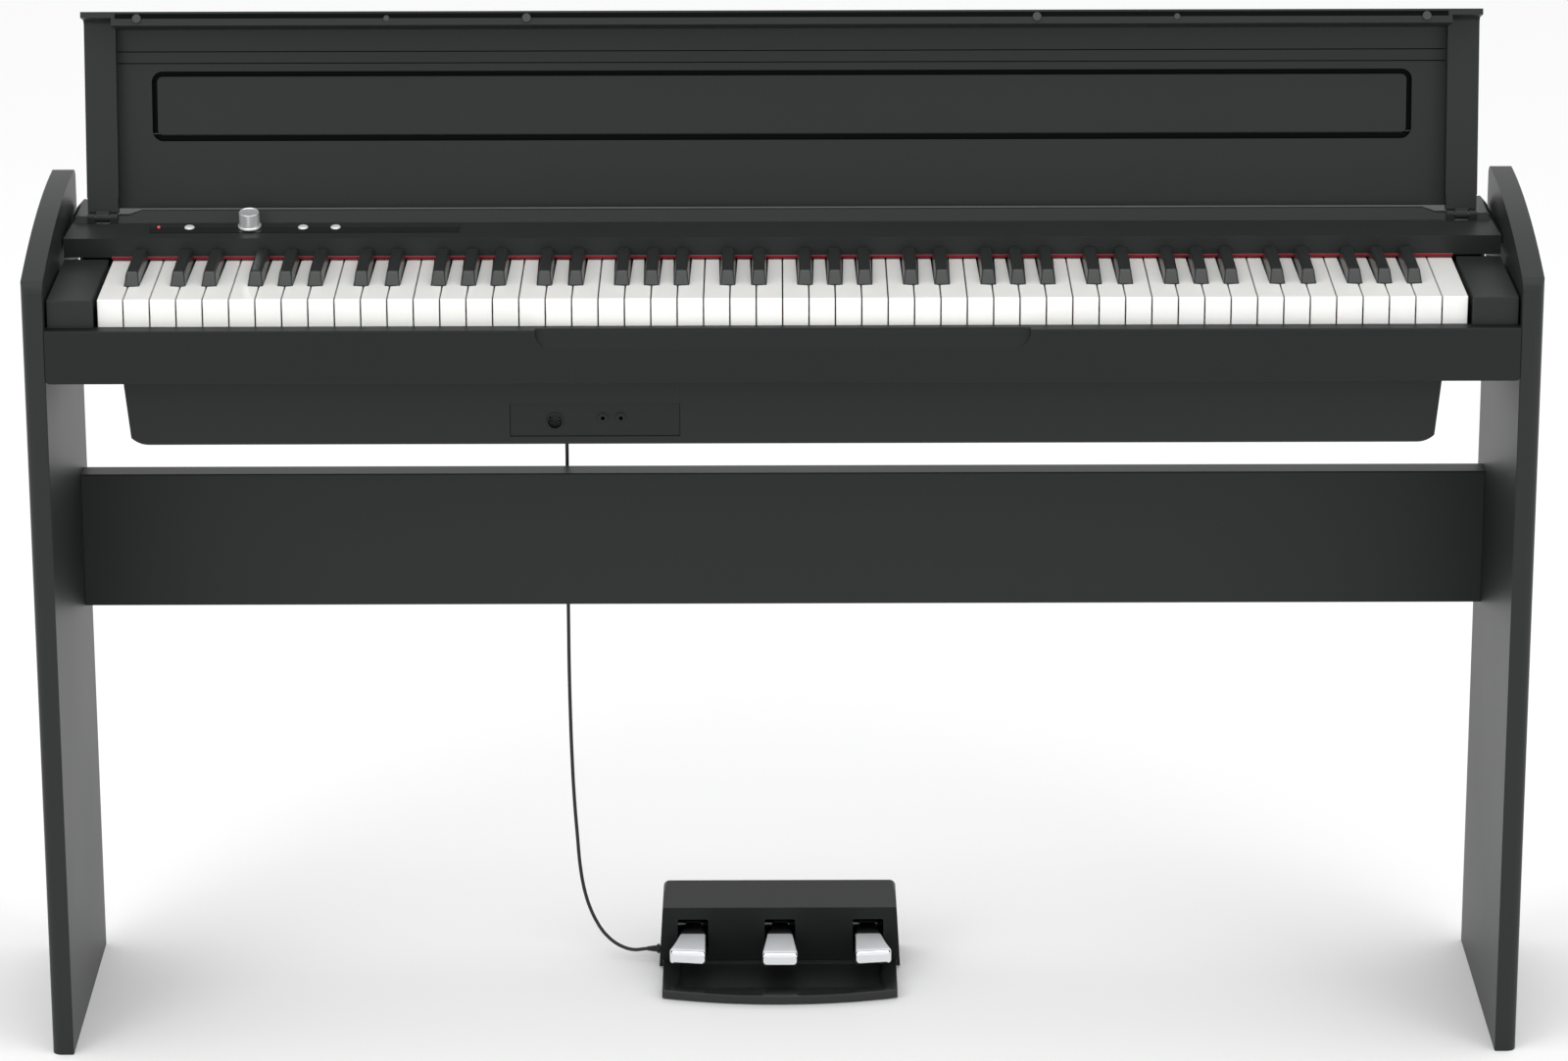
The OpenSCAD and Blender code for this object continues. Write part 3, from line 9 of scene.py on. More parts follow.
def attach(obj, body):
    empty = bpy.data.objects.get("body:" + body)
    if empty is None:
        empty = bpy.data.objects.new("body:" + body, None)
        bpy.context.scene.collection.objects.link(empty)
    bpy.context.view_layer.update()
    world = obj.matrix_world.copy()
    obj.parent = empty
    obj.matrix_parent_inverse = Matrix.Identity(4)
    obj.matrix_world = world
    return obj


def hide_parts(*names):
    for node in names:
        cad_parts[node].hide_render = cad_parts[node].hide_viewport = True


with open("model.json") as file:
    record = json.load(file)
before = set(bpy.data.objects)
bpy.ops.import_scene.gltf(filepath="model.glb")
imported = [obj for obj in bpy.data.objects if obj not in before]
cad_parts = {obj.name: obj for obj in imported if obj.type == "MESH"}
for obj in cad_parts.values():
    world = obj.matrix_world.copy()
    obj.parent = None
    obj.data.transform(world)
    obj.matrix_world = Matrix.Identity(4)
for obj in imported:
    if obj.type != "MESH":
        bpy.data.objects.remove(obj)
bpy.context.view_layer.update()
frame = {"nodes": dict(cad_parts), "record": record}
nodes = frame["nodes"]
scene = bpy.context.scene
MM = 0.001
LENS_MM, SENSOR_MM = 134.5, 36
CAMERA_AT = (-0.0055, -5.185, 2.1233)
PITCH_DOWN, YAW, ROLL = 17.726, 0.071, -0.127


# ---------- camera, light and floor ----------

def camera():
    lens = bpy.data.cameras.new("camera")
    lens.lens, lens.sensor_width = LENS_MM, SENSOR_MM
    lens.clip_start, lens.clip_end = 0.1, 100
    cam = bpy.data.objects.new("camera", lens)
    scene.collection.objects.link(cam)
    cam.location = CAMERA_AT
    pitch, yaw, roll = (math.radians(angle) for angle in (PITCH_DOWN, YAW, ROLL))
    turn = Matrix.Rotation(-yaw, 4, "Z") @ Matrix.Rotation(math.pi / 2 - pitch, 4, "X")
    cam.rotation_euler = (turn @ Matrix.Rotation(roll, 4, "Z")).to_euler()
    scene.camera = cam


def softbox(name, place, aim, width, height, power):
    light = bpy.data.lights.new(name, "AREA")
    light.shape = "RECTANGLE"
    light.size, light.size_y, light.energy = width, height, power
    lamp = bpy.data.objects.new(name, light)
    scene.collection.objects.link(lamp)
    lamp.location = place
    lamp.rotation_euler = (Vector(aim) - Vector(place)).to_track_quat("-Z", "Y").to_euler()


def studio():
    sky = bpy.data.worlds.new("studio")
    sky.use_nodes = True
    sky.node_tree.nodes["Background"].inputs["Color"].default_value = (1, 1, 1, 1)
    sky.node_tree.nodes["Background"].inputs["Strength"].default_value = 1.0
    scene.world = sky
    scene.view_settings.view_transform = "Standard"
    softbox("overhead", (0, -0.6, 3.2), (0, 0, 0.6), 3.2, 2.4, 30)
    softbox("front_left", (-2.6, -3.2, 2.2), (0, 0, 0.5), 1.8, 2.2, 26)
    softbox("front_right", (2.8, -2.6, 1.4), (0, 0, 0.4), 1.4, 2.0, 16)


camera()
studio()


# ---------- finishes ----------

MIX_FIRST, MIX_SECOND, MIX_COLOUR_OUT = 6, 7, 2

class Value:
    """A number or colour at one socket of a finish, with ordinary arithmetic on it."""

    def __init__(self, finish, socket):
        self.finish, self.socket = finish, socket

    def _math(self, operation, a, b):
        return self.finish.add("ShaderNodeMath", {"operation": operation}, {0: a, 1: b})["Value"]

    def __add__(self, other):
        return self._math("ADD", self, other)

    def __radd__(self, other):
        return self._math("ADD", other, self)

    def __sub__(self, other):
        return self._math("SUBTRACT", self, other)

    def __rsub__(self, other):
        return self._math("SUBTRACT", other, self)

    def __mul__(self, other):
        return self._math("MULTIPLY", self, other)

    def __rmul__(self, other):
        return self._math("MULTIPLY", other, self)

    def clipped(self, low, high):
        return self._math("MINIMUM", self._math("MAXIMUM", self, low), high)


class Outputs:
    def __init__(self, finish, node):
        self.finish, self.node = finish, node

    def __getitem__(self, name):
        return Value(self.finish, self.node.outputs[name])

    def colour(self):
        """The colour that a mix node gives; its outputs share one name, so it is taken by place."""
        return Value(self.finish, self.node.outputs[MIX_COLOUR_OUT])


class Finish:
    """A material: its steady numbers go straight on the shader, what varies is linked."""

    def __init__(self, name, **steady):
        self.material = bpy.data.materials.new(name)
        self.material.use_nodes = True
        self.tree = self.material.node_tree
        self.shader = self.tree.nodes["Principled BSDF"]
        self.place = self.add("ShaderNodeTexCoord")["Object"]
        for socket, number in steady.items():
            self.shader.inputs[socket.replace("_", " ")].default_value = number

    def add(self, kind, settings=None, inputs=None):
        node = self.tree.nodes.new(kind)
        for key, setting in (settings or {}).items():
            if key == "stops":
                ramp = node.color_ramp
                while len(ramp.elements) < len(setting):
                    ramp.elements.new(0.5)
                for element, (where, colour) in zip(ramp.elements, setting):
                    element.position, element.color = where, (*colour, 1)
            else:
                setattr(node, key, setting)
        for key, given in (inputs or {}).items():
            if isinstance(given, Value):
                self.tree.links.new(given.socket, node.inputs[key])
            else:
                node.inputs[key].default_value = given
        return Outputs(self, node)

    def feed(self, socket, value):
        self.tree.links.new(value.socket, self.shader.inputs[socket])
        return self

    def noise(self, scale, detail=2.0, stretch=None, rough=0.5):
        where = self.place
        if stretch:
            where = self.add("ShaderNodeMapping", None, {"Vector": where, "Scale": stretch})["Vector"]
        return self.add("ShaderNodeTexNoise", None,
                        {"Vector": where, "Scale": scale, "Detail": detail, "Roughness": rough})["Fac"]

    def between(self, mask, first, second):
        """A colour from the first to the second by the mask."""
        return self.add("ShaderNodeMix", {"data_type": "RGBA"},
                        {"Factor": mask, MIX_FIRST: (*first, 1), MIX_SECOND: (*second, 1)}).colour()

    def mixed(self, mask, first, second):
        """One linked colour or the other by the mask."""
        return self.add("ShaderNodeMix", {"data_type": "RGBA"},
                        {"Factor": mask, MIX_FIRST: first, MIX_SECOND: second}).colour()

    def bump(self, height, strength, distance=0.0002):
        normal = self.add("ShaderNodeBump", None,
                          {"Height": height, "Strength": strength, "Distance": distance})["Normal"]
        return self.feed("Normal", normal)


def satin_board(name, tone, rough=0.42, grain=900, shine=0.22, painted_reflection_above=None):
    """Charcoal foil over board: faint long pores, a slightly cloudy sheen. Given a height, the faces
    above it get a paler colour: a painted reflection, used on the rail top for the white keys reflected
    there.
    """
    f = Finish(name, Specular_IOR_Level=shine)
    cloud = f.noise(3.0, 3)
    pores = f.noise(60, 4, (6.0, 6.0, 0.35), 0.6)
    fine = f.noise(grain, 2)
    low, high = tuple(c * 0.9 for c in tone), tuple(c * 1.12 for c in tone)
    foil = f.between((0.6 * cloud + 0.4 * pores).clipped(0, 1), low, high)
    # Painted reflection: faces above the given height are coloured paler, standing in for the white keys
    # reflected in the rail top.
    if painted_reflection_above:
        height = f.add("ShaderNodeSeparateXYZ", None, {0: f.place})["Z"]
        pale = f.between(cloud, tuple(c * 1.5 for c in low), tuple(c * 1.6 for c in high))
        foil = f.mixed((2000 * (height - painted_reflection_above)).clipped(0, 1), foil, pale)
    f.feed("Base Color", foil)
    f.feed("Roughness", rough - 0.05 + 0.1 * cloud)
    f.bump(0.5 * pores + 0.5 * fine, 0.12)
    return f.material


def grained_plastic(name, tone, rough=0.45, scale=1400, relief=0.2, shine=0.25):
    """Moulded charcoal plastic with a fine spark-eroded grain."""
    f = Finish(name, Specular_IOR_Level=shine)
    cells = f.add("ShaderNodeTexVoronoi", {"feature": "SMOOTH_F1"},
                  {"Vector": f.place, "Scale": scale, "Smoothness": 0.6})["Distance"]
    cloud = f.noise(5.0, 3)
    low, high = tuple(c * 0.92 for c in tone), tuple(c * 1.1 for c in tone)
    f.feed("Base Color", f.between(cloud, low, high))
    f.feed("Roughness", rough - 0.04 + 0.08 * cloud)
    f.bump(cells, relief)
    return f.material


def gloss_plastic(name, tone, rough=0.08, coat=0.6, wave=0.03):
    """Polished moulding with the faint waviness of a mould and a little dust in the shine."""
    f = Finish(name, Coat_Weight=coat, Coat_Roughness=0.04)
    cloud = f.noise(40, 2)
    low, high = tuple(c * 0.97 for c in tone), tuple(min(1, c * 1.02) for c in tone)
    f.feed("Base Color", f.between(cloud, low, high))
    f.feed("Roughness", rough + 0.05 * f.noise(220, 3))
    f.bump(cloud, wave, 0.0004)
    return f.material


SKIRT_TOP = 0.0085


def gloss_base(name, tone):
    """Polished black plastic on the foot rest and a grained skirt below it."""
    f = Finish(name, Coat_Roughness=0.12)
    spot = f.add("ShaderNodeSeparateXYZ", None, {0: f.place})
    deck = (1500 * (spot["Z"] - SKIRT_TOP)).clipped(0, 1)
    cloud = f.noise(9, 3)
    low, high = tuple(c * 0.9 for c in tone), tuple(c * 1.15 for c in tone)
    f.feed("Base Color", f.between(cloud, low, high))
    f.feed("Roughness", 0.42 - 0.24 * deck + 0.06 * cloud)
    f.feed("Coat Weight", 0.5 * deck)
    f.bump(f.noise(1400, 2), 0.08)
    return f.material


def polished_key(name):
    """White key tops: hard, warm white, glossy, with a hint of light passing in."""
    f = Finish(name, Coat_Weight=0.35, Coat_Roughness=0.06, Subsurface_Weight=0.08,
               Subsurface_Scale=0.002)
    cloud = f.noise(18, 2)
    f.feed("Base Color", f.between(cloud, (0.84, 0.84, 0.815), (0.9, 0.9, 0.875)))
    f.feed("Roughness", 0.16 + 0.06 * f.noise(90, 3))
    f.bump(f.noise(500, 2), 0.02)
    return f.material


def satin_sharp(name):
    """Black keys: satin, drawn lightly along their length."""
    f = Finish(name, Coat_Weight=0.15, Coat_Roughness=0.2)
    drawn = f.noise(300, 3, (1.0, 0.06, 1.0))
    f.feed("Base Color", f.between(drawn, (0.011, 0.012, 0.012), (0.022, 0.024, 0.024)))
    f.feed("Roughness", 0.28 + 0.12 * drawn)
    f.bump(drawn, 0.08)
    return f.material


def felt(name, tone):
    """Woven felt: matted fibres with a soft nap."""
    f = Finish(name, Sheen_Weight=0.6, Sheen_Roughness=0.5, Specular_IOR_Level=0.2)
    fibres = f.noise(900, 5, (1.0, 1.0, 2.5), 0.75)
    low, high = tuple(c * 0.55 for c in tone), tuple(min(1, c * 1.25) for c in tone)
    f.feed("Base Color", f.between(fibres, low, high))
    f.feed("Roughness", 0.85 + 0.15 * fibres)
    f.bump(fibres, 0.7, 0.0003)
    return f.material


def polished_metal(name, tone, rough=0.07, handling=0.08):
    """Plated metal: clear reflections, faint wipe marks."""
    f = Finish(name, Metallic=1.0)
    smear = f.noise(35, 4, (1.0, 0.4, 1.0), 0.6)
    f.feed("Base Color", f.between(smear, tuple(c * 0.94 for c in tone), tone))
    f.feed("Roughness", rough + handling * smear)
    f.bump(f.noise(160, 2), 0.02)
    return f.material


PLATE_END, PLATE_CROWN = 0.0622, 0.0372


def pedal_plate(name):
    """Chrome plate with a brushed pale top; the arm inside the slot is black."""
    f = Finish(name)
    spot = f.add("ShaderNodeSeparateXYZ", None, {0: f.place})
    neck = (1000 * (spot["Y"] - PLATE_END)).clipped(0, 1)
    crown = (1000 * (spot["Z"] - PLATE_CROWN)).clipped(0, 1)
    smear = f.noise(35, 4, (1.0, 0.4, 1.0), 0.6)
    plate = f.between(smear, (0.8, 0.82, 0.84), (0.9, 0.92, 0.94))
    arm_black = f.between(smear, (0.008, 0.008, 0.008), (0.014, 0.015, 0.015))
    f.feed("Base Color", f.mixed(neck, plate, arm_black))
    f.feed("Metallic", (1 - 0.7 * crown) * (1 - neck))
    f.feed("Roughness", 0.07 + 0.05 * smear + 0.22 * crown + 0.3 * neck)
    f.bump(f.noise(160, 2), 0.02)
    return f.material


def drawn_metal(name, tone, rough=0.32, stretch=(1.0, 1.0, 0.05), scale=900):
    """Turned or drawn metal: fine lines that widen the shine."""
    f = Finish(name, Metallic=1.0)
    lines = f.noise(scale, 3, stretch, 0.6)
    f.feed("Base Color", f.between(lines, tuple(c * 0.85 for c in tone), tone))
    f.feed("Roughness", rough - 0.08 + 0.16 * lines)
    f.bump(lines, 0.12)
    return f.material


def silver_paint(name, tone, rough=0.3, metal=0.45):
    """Silver lacquer: half metal, half pale pigment, with a fine flake."""
    f = Finish(name, Metallic=metal, Coat_Weight=0.4, Coat_Roughness=0.1)
    flake = f.noise(2600, 2)
    cloud = f.noise(60, 2)
    low, high = tuple(c * 0.9 for c in tone), tuple(c * 1.12 for c in tone)
    f.feed("Base Color", f.between((0.5 * flake + 0.5 * cloud).clipped(0, 1), low, high))
    f.feed("Roughness", rough - 0.05 + 0.1 * flake)
    f.bump(flake, 0.05)
    return f.material


def soft_rubber(name, tone, rough=0.62):
    """Rubber or flexible vinyl, dull with a fine matt bloom."""
    f = Finish(name, Specular_IOR_Level=0.4)
    bloom = f.noise(250, 4, None, 0.65)
    f.feed("Base Color", f.between(bloom, tone, tuple(c * 1.7 for c in tone)))
    f.feed("Roughness", rough - 0.08 + 0.16 * bloom)
    f.bump(bloom, 0.15)
    return f.material


def circuit_board(name):
    """Solder mask with copper runs showing faintly through it."""
    f = Finish(name, Coat_Weight=0.3, Coat_Roughness=0.15)
    runs = f.add("ShaderNodeTexBrick", None,
                 {"Vector": f.place, "Scale": 60.0, "Mortar Size": 0.06, "Color1": (0, 0, 0, 1),
                  "Color2": (0.3, 0.3, 0.3, 1), "Mortar": (1, 1, 1, 1)})["Fac"]
    f.feed("Base Color", f.between(runs, (0.008, 0.085, 0.035), (0.03, 0.16, 0.06)))
    f.feed("Roughness", 0.3 + 0.1 * f.noise(80, 2))
    f.bump(runs, 0.1)
    return f.material


def board_core(name):
    """Dark stained board for the hidden keybed."""
    f = Finish(name, Specular_IOR_Level=0.3)
    grain = f.noise(30, 5, (0.4, 6.0, 6.0), 0.6)
    f.feed("Base Color", f.between(grain, (0.05, 0.038, 0.026), (0.11, 0.082, 0.055)))
    f.feed("Roughness", 0.6 + 0.2 * grain)
    f.bump(grain, 0.2)
    return f.material


def lamp_lens(name):
    """Small red lens, lit from behind."""
    f = Finish(name, Emission_Strength=0.25, Roughness=0.15, Coat_Weight=1.0)
    glow = f.noise(500, 2)
    f.feed("Base Color", f.between(glow, (0.55, 0.01, 0.03), (0.75, 0.03, 0.06)))
    f.feed("Emission Color", f.between(glow, (0.8, 0.03, 0.07), (1.0, 0.12, 0.16)))
    return f.material


CHARCOAL = (0.0155, 0.0175, 0.017)
LOOKS = {
    "stand_panel": satin_board("charcoal foil", (0.0175, 0.0195, 0.019)),
    "bracket_steel": drawn_metal("blackened steel", (0.05, 0.051, 0.053), 0.45, (1.0, 0.2, 1.0), 300),
    "keybed_wood": board_core("stained board"),
    # The rail top is painted paler, a painted reflection of the white keys above it.
    "case_rail": satin_board("rail foil with painted reflection", (0.0135, 0.015, 0.0147), 0.45, shine=0.15,
                             painted_reflection_above=0.6993),
    "panel_plastic": grained_plastic("panel moulding", (0.0185, 0.0205, 0.02), 0.42),
    "inset_gloss": gloss_plastic("gloss inset", (0.006, 0.007, 0.007), 0.05, 1.0),
    "box_panel": satin_board("box foil", (0.014, 0.0155, 0.015), 0.5, shine=0.22),
    "jack_plastic": grained_plastic("socket moulding", (0.010, 0.011, 0.011), 0.5, 1800),
    "speaker_cone": soft_rubber("paper cone", (0.012, 0.012, 0.012), 0.8),
    "circuit_board": circuit_board("solder mask"),
    "pot_metal": drawn_metal("bare steel", (0.48, 0.49, 0.5), 0.35, (0.05, 1.0, 1.0), 500),
    "lamp_red": lamp_lens("red lens"),
    "frame_plastic": grained_plastic("grey moulding", (0.07, 0.075, 0.08), 0.5),
    "felt_red": felt("red felt", (0.26, 0.006, 0.016)),
    "ivory_white": polished_key("white key"),
    "ebony_black": satin_sharp("black key"),
    "lid_plastic": grained_plastic("lid moulding", (0.0165, 0.0185, 0.018), 0.44, 1300),
    # Black strip plastic, taken down further to near black as painted shade of the recess it sits in;
    # the groove's painted shade uses this finish too.
    "strip_plastic": grained_plastic("strip moulding and painted shade", (0.002, 0.0022, 0.0022), 0.6, shine=0.05),
    "pad_rubber": soft_rubber("pad rubber", (0.03, 0.031, 0.031)),
    "hinge_black": grained_plastic("hinge moulding", (0.012, 0.013, 0.013), 0.35),
    "pin_steel": polished_metal("bright pin", (0.75, 0.76, 0.77)),
    "knob_silver": silver_paint("turned knob", (0.74, 0.75, 0.76), 0.3, 0.6),
    "button_silver": silver_paint("silver button", (0.72, 0.73, 0.74), 0.35, 0.25),
    "base_black": gloss_base("base moulding", (0.008, 0.009, 0.009)),
    "cover_black": grained_plastic("cover moulding", (0.007, 0.008, 0.0078), 0.42, 1500, shine=0.22),
    "pedal_chrome": pedal_plate("pedal plate"),
    "spring_steel": drawn_metal("blued spring wire", (0.06, 0.062, 0.068), 0.4, (1.0, 1.0, 1.0), 400),
    "cord_black": soft_rubber("cord jacket", (0.008, 0.008, 0.008), 0.5),
}
SLOT_OF = {s["node"]: s["material_slot"] for s in frame["record"]["subparts"]}
BODY_OF = {n: b for b, names in frame["record"]["behaviour"]["bodies"].items() for n in names}

for name, part in nodes.items():
    part.data.materials.clear()
    part.data.materials.append(LOOKS[SLOT_OF[name]])


# ---------- making pieces ----------

def piece(name, mesh, node, *hidden, body=None):
    """A finished piece in its place: it takes the finish and the body of a CAD node."""
    made = bpy.data.objects.new(name, mesh)
    scene.collection.objects.link(made)
    mesh.materials.clear()
    mesh.materials.append(LOOKS[SLOT_OF[node]])
    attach(made, body or BODY_OF[node])
    if hidden:
        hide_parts(*hidden)
    return made


def to_mesh(bm, name, smooth=35):
    """A shaded mesh: broad faces keep their own direction and narrow ones blend into them."""
    bmesh.ops.recalc_face_normals(bm, faces=bm.faces)
    mesh = bpy.data.meshes.new(name)
    bm.to_mesh(mesh)
    bm.free()
    mesh.shade_smooth()
    limit = math.cos(math.radians(smooth))
    faces = [(f.normal.copy(), f.area) for f in mesh.polygons]
    around = [[] for _ in mesh.vertices]
    for f in mesh.polygons:
        for v in f.vertices:
            around[v].append(f.index)
    normals = []
    for f in mesh.polygons:
        facing = faces[f.index][0]
        for v in f.vertices:
            total = Vector((0, 0, 0))
            for other in around[v]:
                towards, area = faces[other]
                if towards.dot(facing) > limit:
                    total += towards * area
            normals.append(total.normalized() if total.length > 0 else facing)
    mesh.normals_split_custom_set(normals)
    return mesh


def welded(node):
    """A closed copy of a CAD node's mesh with flat faces made whole."""
    bm = bmesh.new()
    bm.from_mesh(nodes[node].data)
    bmesh.ops.remove_doubles(bm, verts=bm.verts, dist=2e-6)
    bmesh.ops.dissolve_limit(bm, angle_limit=math.radians(0.6), verts=bm.verts, edges=bm.edges)
    return bm


SHARP_ABOVE = math.radians(32)


def eased(node, radius, segments=2, crisp=None):
    """A CAD node's shape with its edges eased, apart from the edges that crisp picks."""
    bm = welded(node)

    def sharp(edge):
        if crisp and crisp(*[v.co / MM for v in edge.verts]):
            return False
        return len(edge.link_faces) == 2 and edge.calc_face_angle(0) > SHARP_ABOVE

    bmesh.ops.bevel(bm, geom=[e for e in bm.edges if sharp(e)], offset=radius * MM, segments=segments,
                    profile=0.5, affect="EDGES", clamp_overlap=True)
    return piece(node + "_eased", to_mesh(bm, node + "_eased"), node, node)


def spun(name, profile, frame_matrix, node, steps=64, hide=True):
    """A turned piece: profile is (radius, height) from foot to top, closed on its axis."""
    bm = bmesh.new()
    verts = [bm.verts.new((r * MM, 0, z * MM)) for r, z in profile]
    edges = [bm.edges.new(pair) for pair in zip(verts, verts[1:])]
    bmesh.ops.spin(bm, geom=verts + edges, cent=(0, 0, 0), axis=(0, 0, 1), angle=2 * math.pi,
                   steps=steps, use_merge=True)
    bmesh.ops.remove_doubles(bm, verts=bm.verts, dist=1e-6)
    bm.transform(frame_matrix)
    return piece(name, to_mesh(bm, name), node, *([node] if hide else []))


class Tree:
    """A geometry tree with named inputs."""

    def __init__(self, name, **inputs):
        self.tree = bpy.data.node_groups.new(name, "GeometryNodeTree")
        self.tree.interface.new_socket("Geometry", in_out="OUTPUT", socket_type="NodeSocketGeometry")
        for label, kind in inputs.items():
            self.tree.interface.new_socket(label.replace("_", " "), in_out="INPUT",
                                           socket_type="NodeSocket" + kind)
        self.given = self.tree.nodes.new("NodeGroupInput")
        self.end = self.tree.nodes.new("NodeGroupOutput")

    def add(self, kind, settings=None, **inputs):
        node = self.tree.nodes.new(kind)
        for key, setting in (settings or {}).items():
            setattr(node, key, setting)
        for key, given in inputs.items():
            socket = node.inputs[int(key[1:])] if key[0] == "_" else node.inputs[key.replace("_", " ")]
            if isinstance(given, bpy.types.NodeSocket):
                self.tree.links.new(given, socket)
            else:
                socket.default_value = given
        return node

    def input(self, label):
        return self.given.outputs[label]

    def close(self, geometry):
        real = self.add("GeometryNodeRealizeInstances", _0=geometry)
        final = self.add("GeometryNodeSetMaterial", Geometry=real.outputs[0],
                         Material=self.input("Finish"))
        self.tree.links.new(final.outputs[0], self.end.inputs[0])
        return self.tree


def grown(tree, name, **sizes):
    """The plain mesh that a geometry tree makes from its inputs."""
    holder = bpy.data.objects.new(name, bpy.data.meshes.new(name))
    scene.collection.objects.link(holder)
    shape = holder.modifiers.new("shape", "NODES")
    shape.node_group = tree
    for item in tree.interface.items_tree:
        if item.in_out == "INPUT" and item.name in sizes:
            shape[item.identifier] = sizes[item.name]
    settled = holder.evaluated_get(bpy.context.evaluated_depsgraph_get())
    mesh = bpy.data.meshes.new_from_object(settled)
    bpy.data.objects.remove(holder)
    return mesh


# ---------- pedal cord ----------

CORD_ROUTE = [
    (-204, 116, 541), (-204, 116.5, 525), (-204, 118, 500), (-204.5, 120, 465), (-205, 121, 425),
    (-205, 122, 380), (-205, 122, 335), (-205, 122, 290), (-204.5, 122, 245), (-203.5, 122, 200),
    (-202, 122, 160), (-199.5, 122, 120), (-196.5, 122, 82), (-192.5, 121.2, 59), (-187.5, 119.5, 43),
    (-182, 117, 31.5), (-176, 113.5, 22.6), (-170, 109.8, 17), (-164, 106, 13.2), (-157, 102, 10.6),
    (-150, 98.5, 9.3), (-143, 96, 9.4), (-137, 95.1, 10.4), (-132.1, 95, 11),
]


def pedal_cord():
    jacket = bpy.data.curves.new("pedal_lead", "CURVE")
    jacket.dimensions = "3D"
    jacket.bevel_depth = 1.7 * MM
    jacket.bevel_resolution = 4
    jacket.use_fill_caps = True
    jacket.resolution_u = 6
    line = jacket.splines.new("BEZIER")
    line.bezier_points.add(len(CORD_ROUTE) - 1)
    for point, place in zip(line.bezier_points, reversed(CORD_ROUTE)):
        point.co = Vector(place) * MM
        point.handle_left_type = point.handle_right_type = "AUTO"
    lead = bpy.data.objects.new("pedal_lead", jacket)
    scene.collection.objects.link(lead)
    jacket.materials.append(LOOKS["cord_black"])
    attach(lead, "case")
    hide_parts("pedal_cord")


pedal_cord()


# ---------- keys ----------

PITCH, KEY_GAP, WHITES = 23.65, 1.2, 52
KEYS_HALF = WHITES * PITCH / 2
KEY_FRONT, KEY_TOP, SHARP_FRONT, SHARP_BACK = -123.5, 724.0, -78.5, 8.8
LETTERS = ["a", "b", "c", "d", "e", "f", "g"]
SHARP_SHIFT = {"a": 3.3, "c": -2.3, "d": 2.3, "f": -3.3, "g": 0.0}


def key_left(i):
    return -KEYS_HALF + i * PITCH


def sharp_middle(i):
    return key_left(i + 1) + SHARP_SHIFT[LETTERS[i % 7]]


def tail_sides(i):
    left, right = key_left(i) + KEY_GAP / 2, key_left(i + 1) - KEY_GAP / 2
    if i > 0 and LETTERS[(i - 1) % 7] in SHARP_SHIFT:
        left = sharp_middle(i - 1) + 7.85
    if i < WHITES - 1 and LETTERS[i % 7] in SHARP_SHIFT:
        right = sharp_middle(i) - 7.85
    return left, right


def arm(bm, middle):
    """The bar behind a key, with its round end on the pivot rod."""
    side = [(-1, 706), (100, 706)]
    side += [(100 + 6 * math.sin(t), 712 - 6 * math.cos(t)) for t in (0.5, 1.0, 1.57, 2.1, 2.6)]
    side += [(100, 718), (-1, 718)]
    walls = []
    for x in (middle - 3.5, middle + 3.5):
        walls.append([bm.verts.new((x * MM, y * MM, z * MM)) for y, z in side])
    bm.faces.new(walls[0][::-1])
    bm.faces.new(walls[1])
    for k in range(len(side)):
        n = (k + 1) % len(side)
        bm.faces.new((walls[0][k], walls[0][n], walls[1][n], walls[1][k]))


def white_key(i):
    """One white key: broad head, narrow tail between the black keys, front lip."""
    x0, x1 = key_left(i) + KEY_GAP / 2, key_left(i + 1) - KEY_GAP / 2
    t0, t1 = tail_sides(i)
    front, lip, notch, back = KEY_FRONT, KEY_FRONT + 3, SHARP_FRONT - 1, 17.8
    deck = [(x0, front), (x1, front), (x1, notch)]
    deck += [(t1, notch), (t1, back)] if t1 < x1 - 0.01 else [(x1, back)]
    deck += [(t0, back), (t0, notch)] if t0 > x0 + 0.01 else [(x0, back)]
    if t0 > x0 + 0.01:
        deck.append((x0, notch))
    if t1 >= x1 - 0.01:
        deck.remove((x1, notch))
    bm = bmesh.new()

    def vert(x, y, z):
        return bm.verts.new((x * MM, y * MM, z * MM))

    top = [vert(x, y, KEY_TOP) for x, y in deck]
    under = [vert(x, lip if y == front else y, KEY_TOP - 12) for x, y in deck]
    lip_back = [vert(x0, lip, KEY_TOP - 27), vert(x1, lip, KEY_TOP - 27)]
    lip_front = [vert(x0, front, KEY_TOP - 27), vert(x1, front, KEY_TOP - 27)]
    bm.faces.new(top)
    bm.faces.new(under[::-1])
    bm.faces.new((lip_front[0], lip_front[1], top[1], top[0]))
    bm.faces.new((lip_back[1], lip_back[0], under[0], under[1]))
    bm.faces.new((lip_front[1], lip_front[0], lip_back[0], lip_back[1]))
    last = len(deck) - 1
    for k in range(1, last):
        side = [under[k], under[k + 1], top[k + 1], top[k]]
        if k == 1:
            side = [lip_front[1], lip_back[1]] + side
        bm.faces.new(side)
    bm.faces.new([lip_back[0], lip_front[0], top[0], top[last], under[last], under[0]])
    crown = [e for e in bm.edges if all(v.co.z > (KEY_TOP - 1) * MM for v in e.verts)]
    corners = [e for e in bm.edges
               if all(v.co.y < (front + 0.5) * MM for v in e.verts) and e not in crown]
    bmesh.ops.bevel(bm, geom=crown + corners, offset=0.8 * MM, segments=3, profile=0.5,
                    affect="EDGES", clamp_overlap=True)
    arm(bm, (t0 + t1) / 2)
    return to_mesh(bm, "white_key", 40)


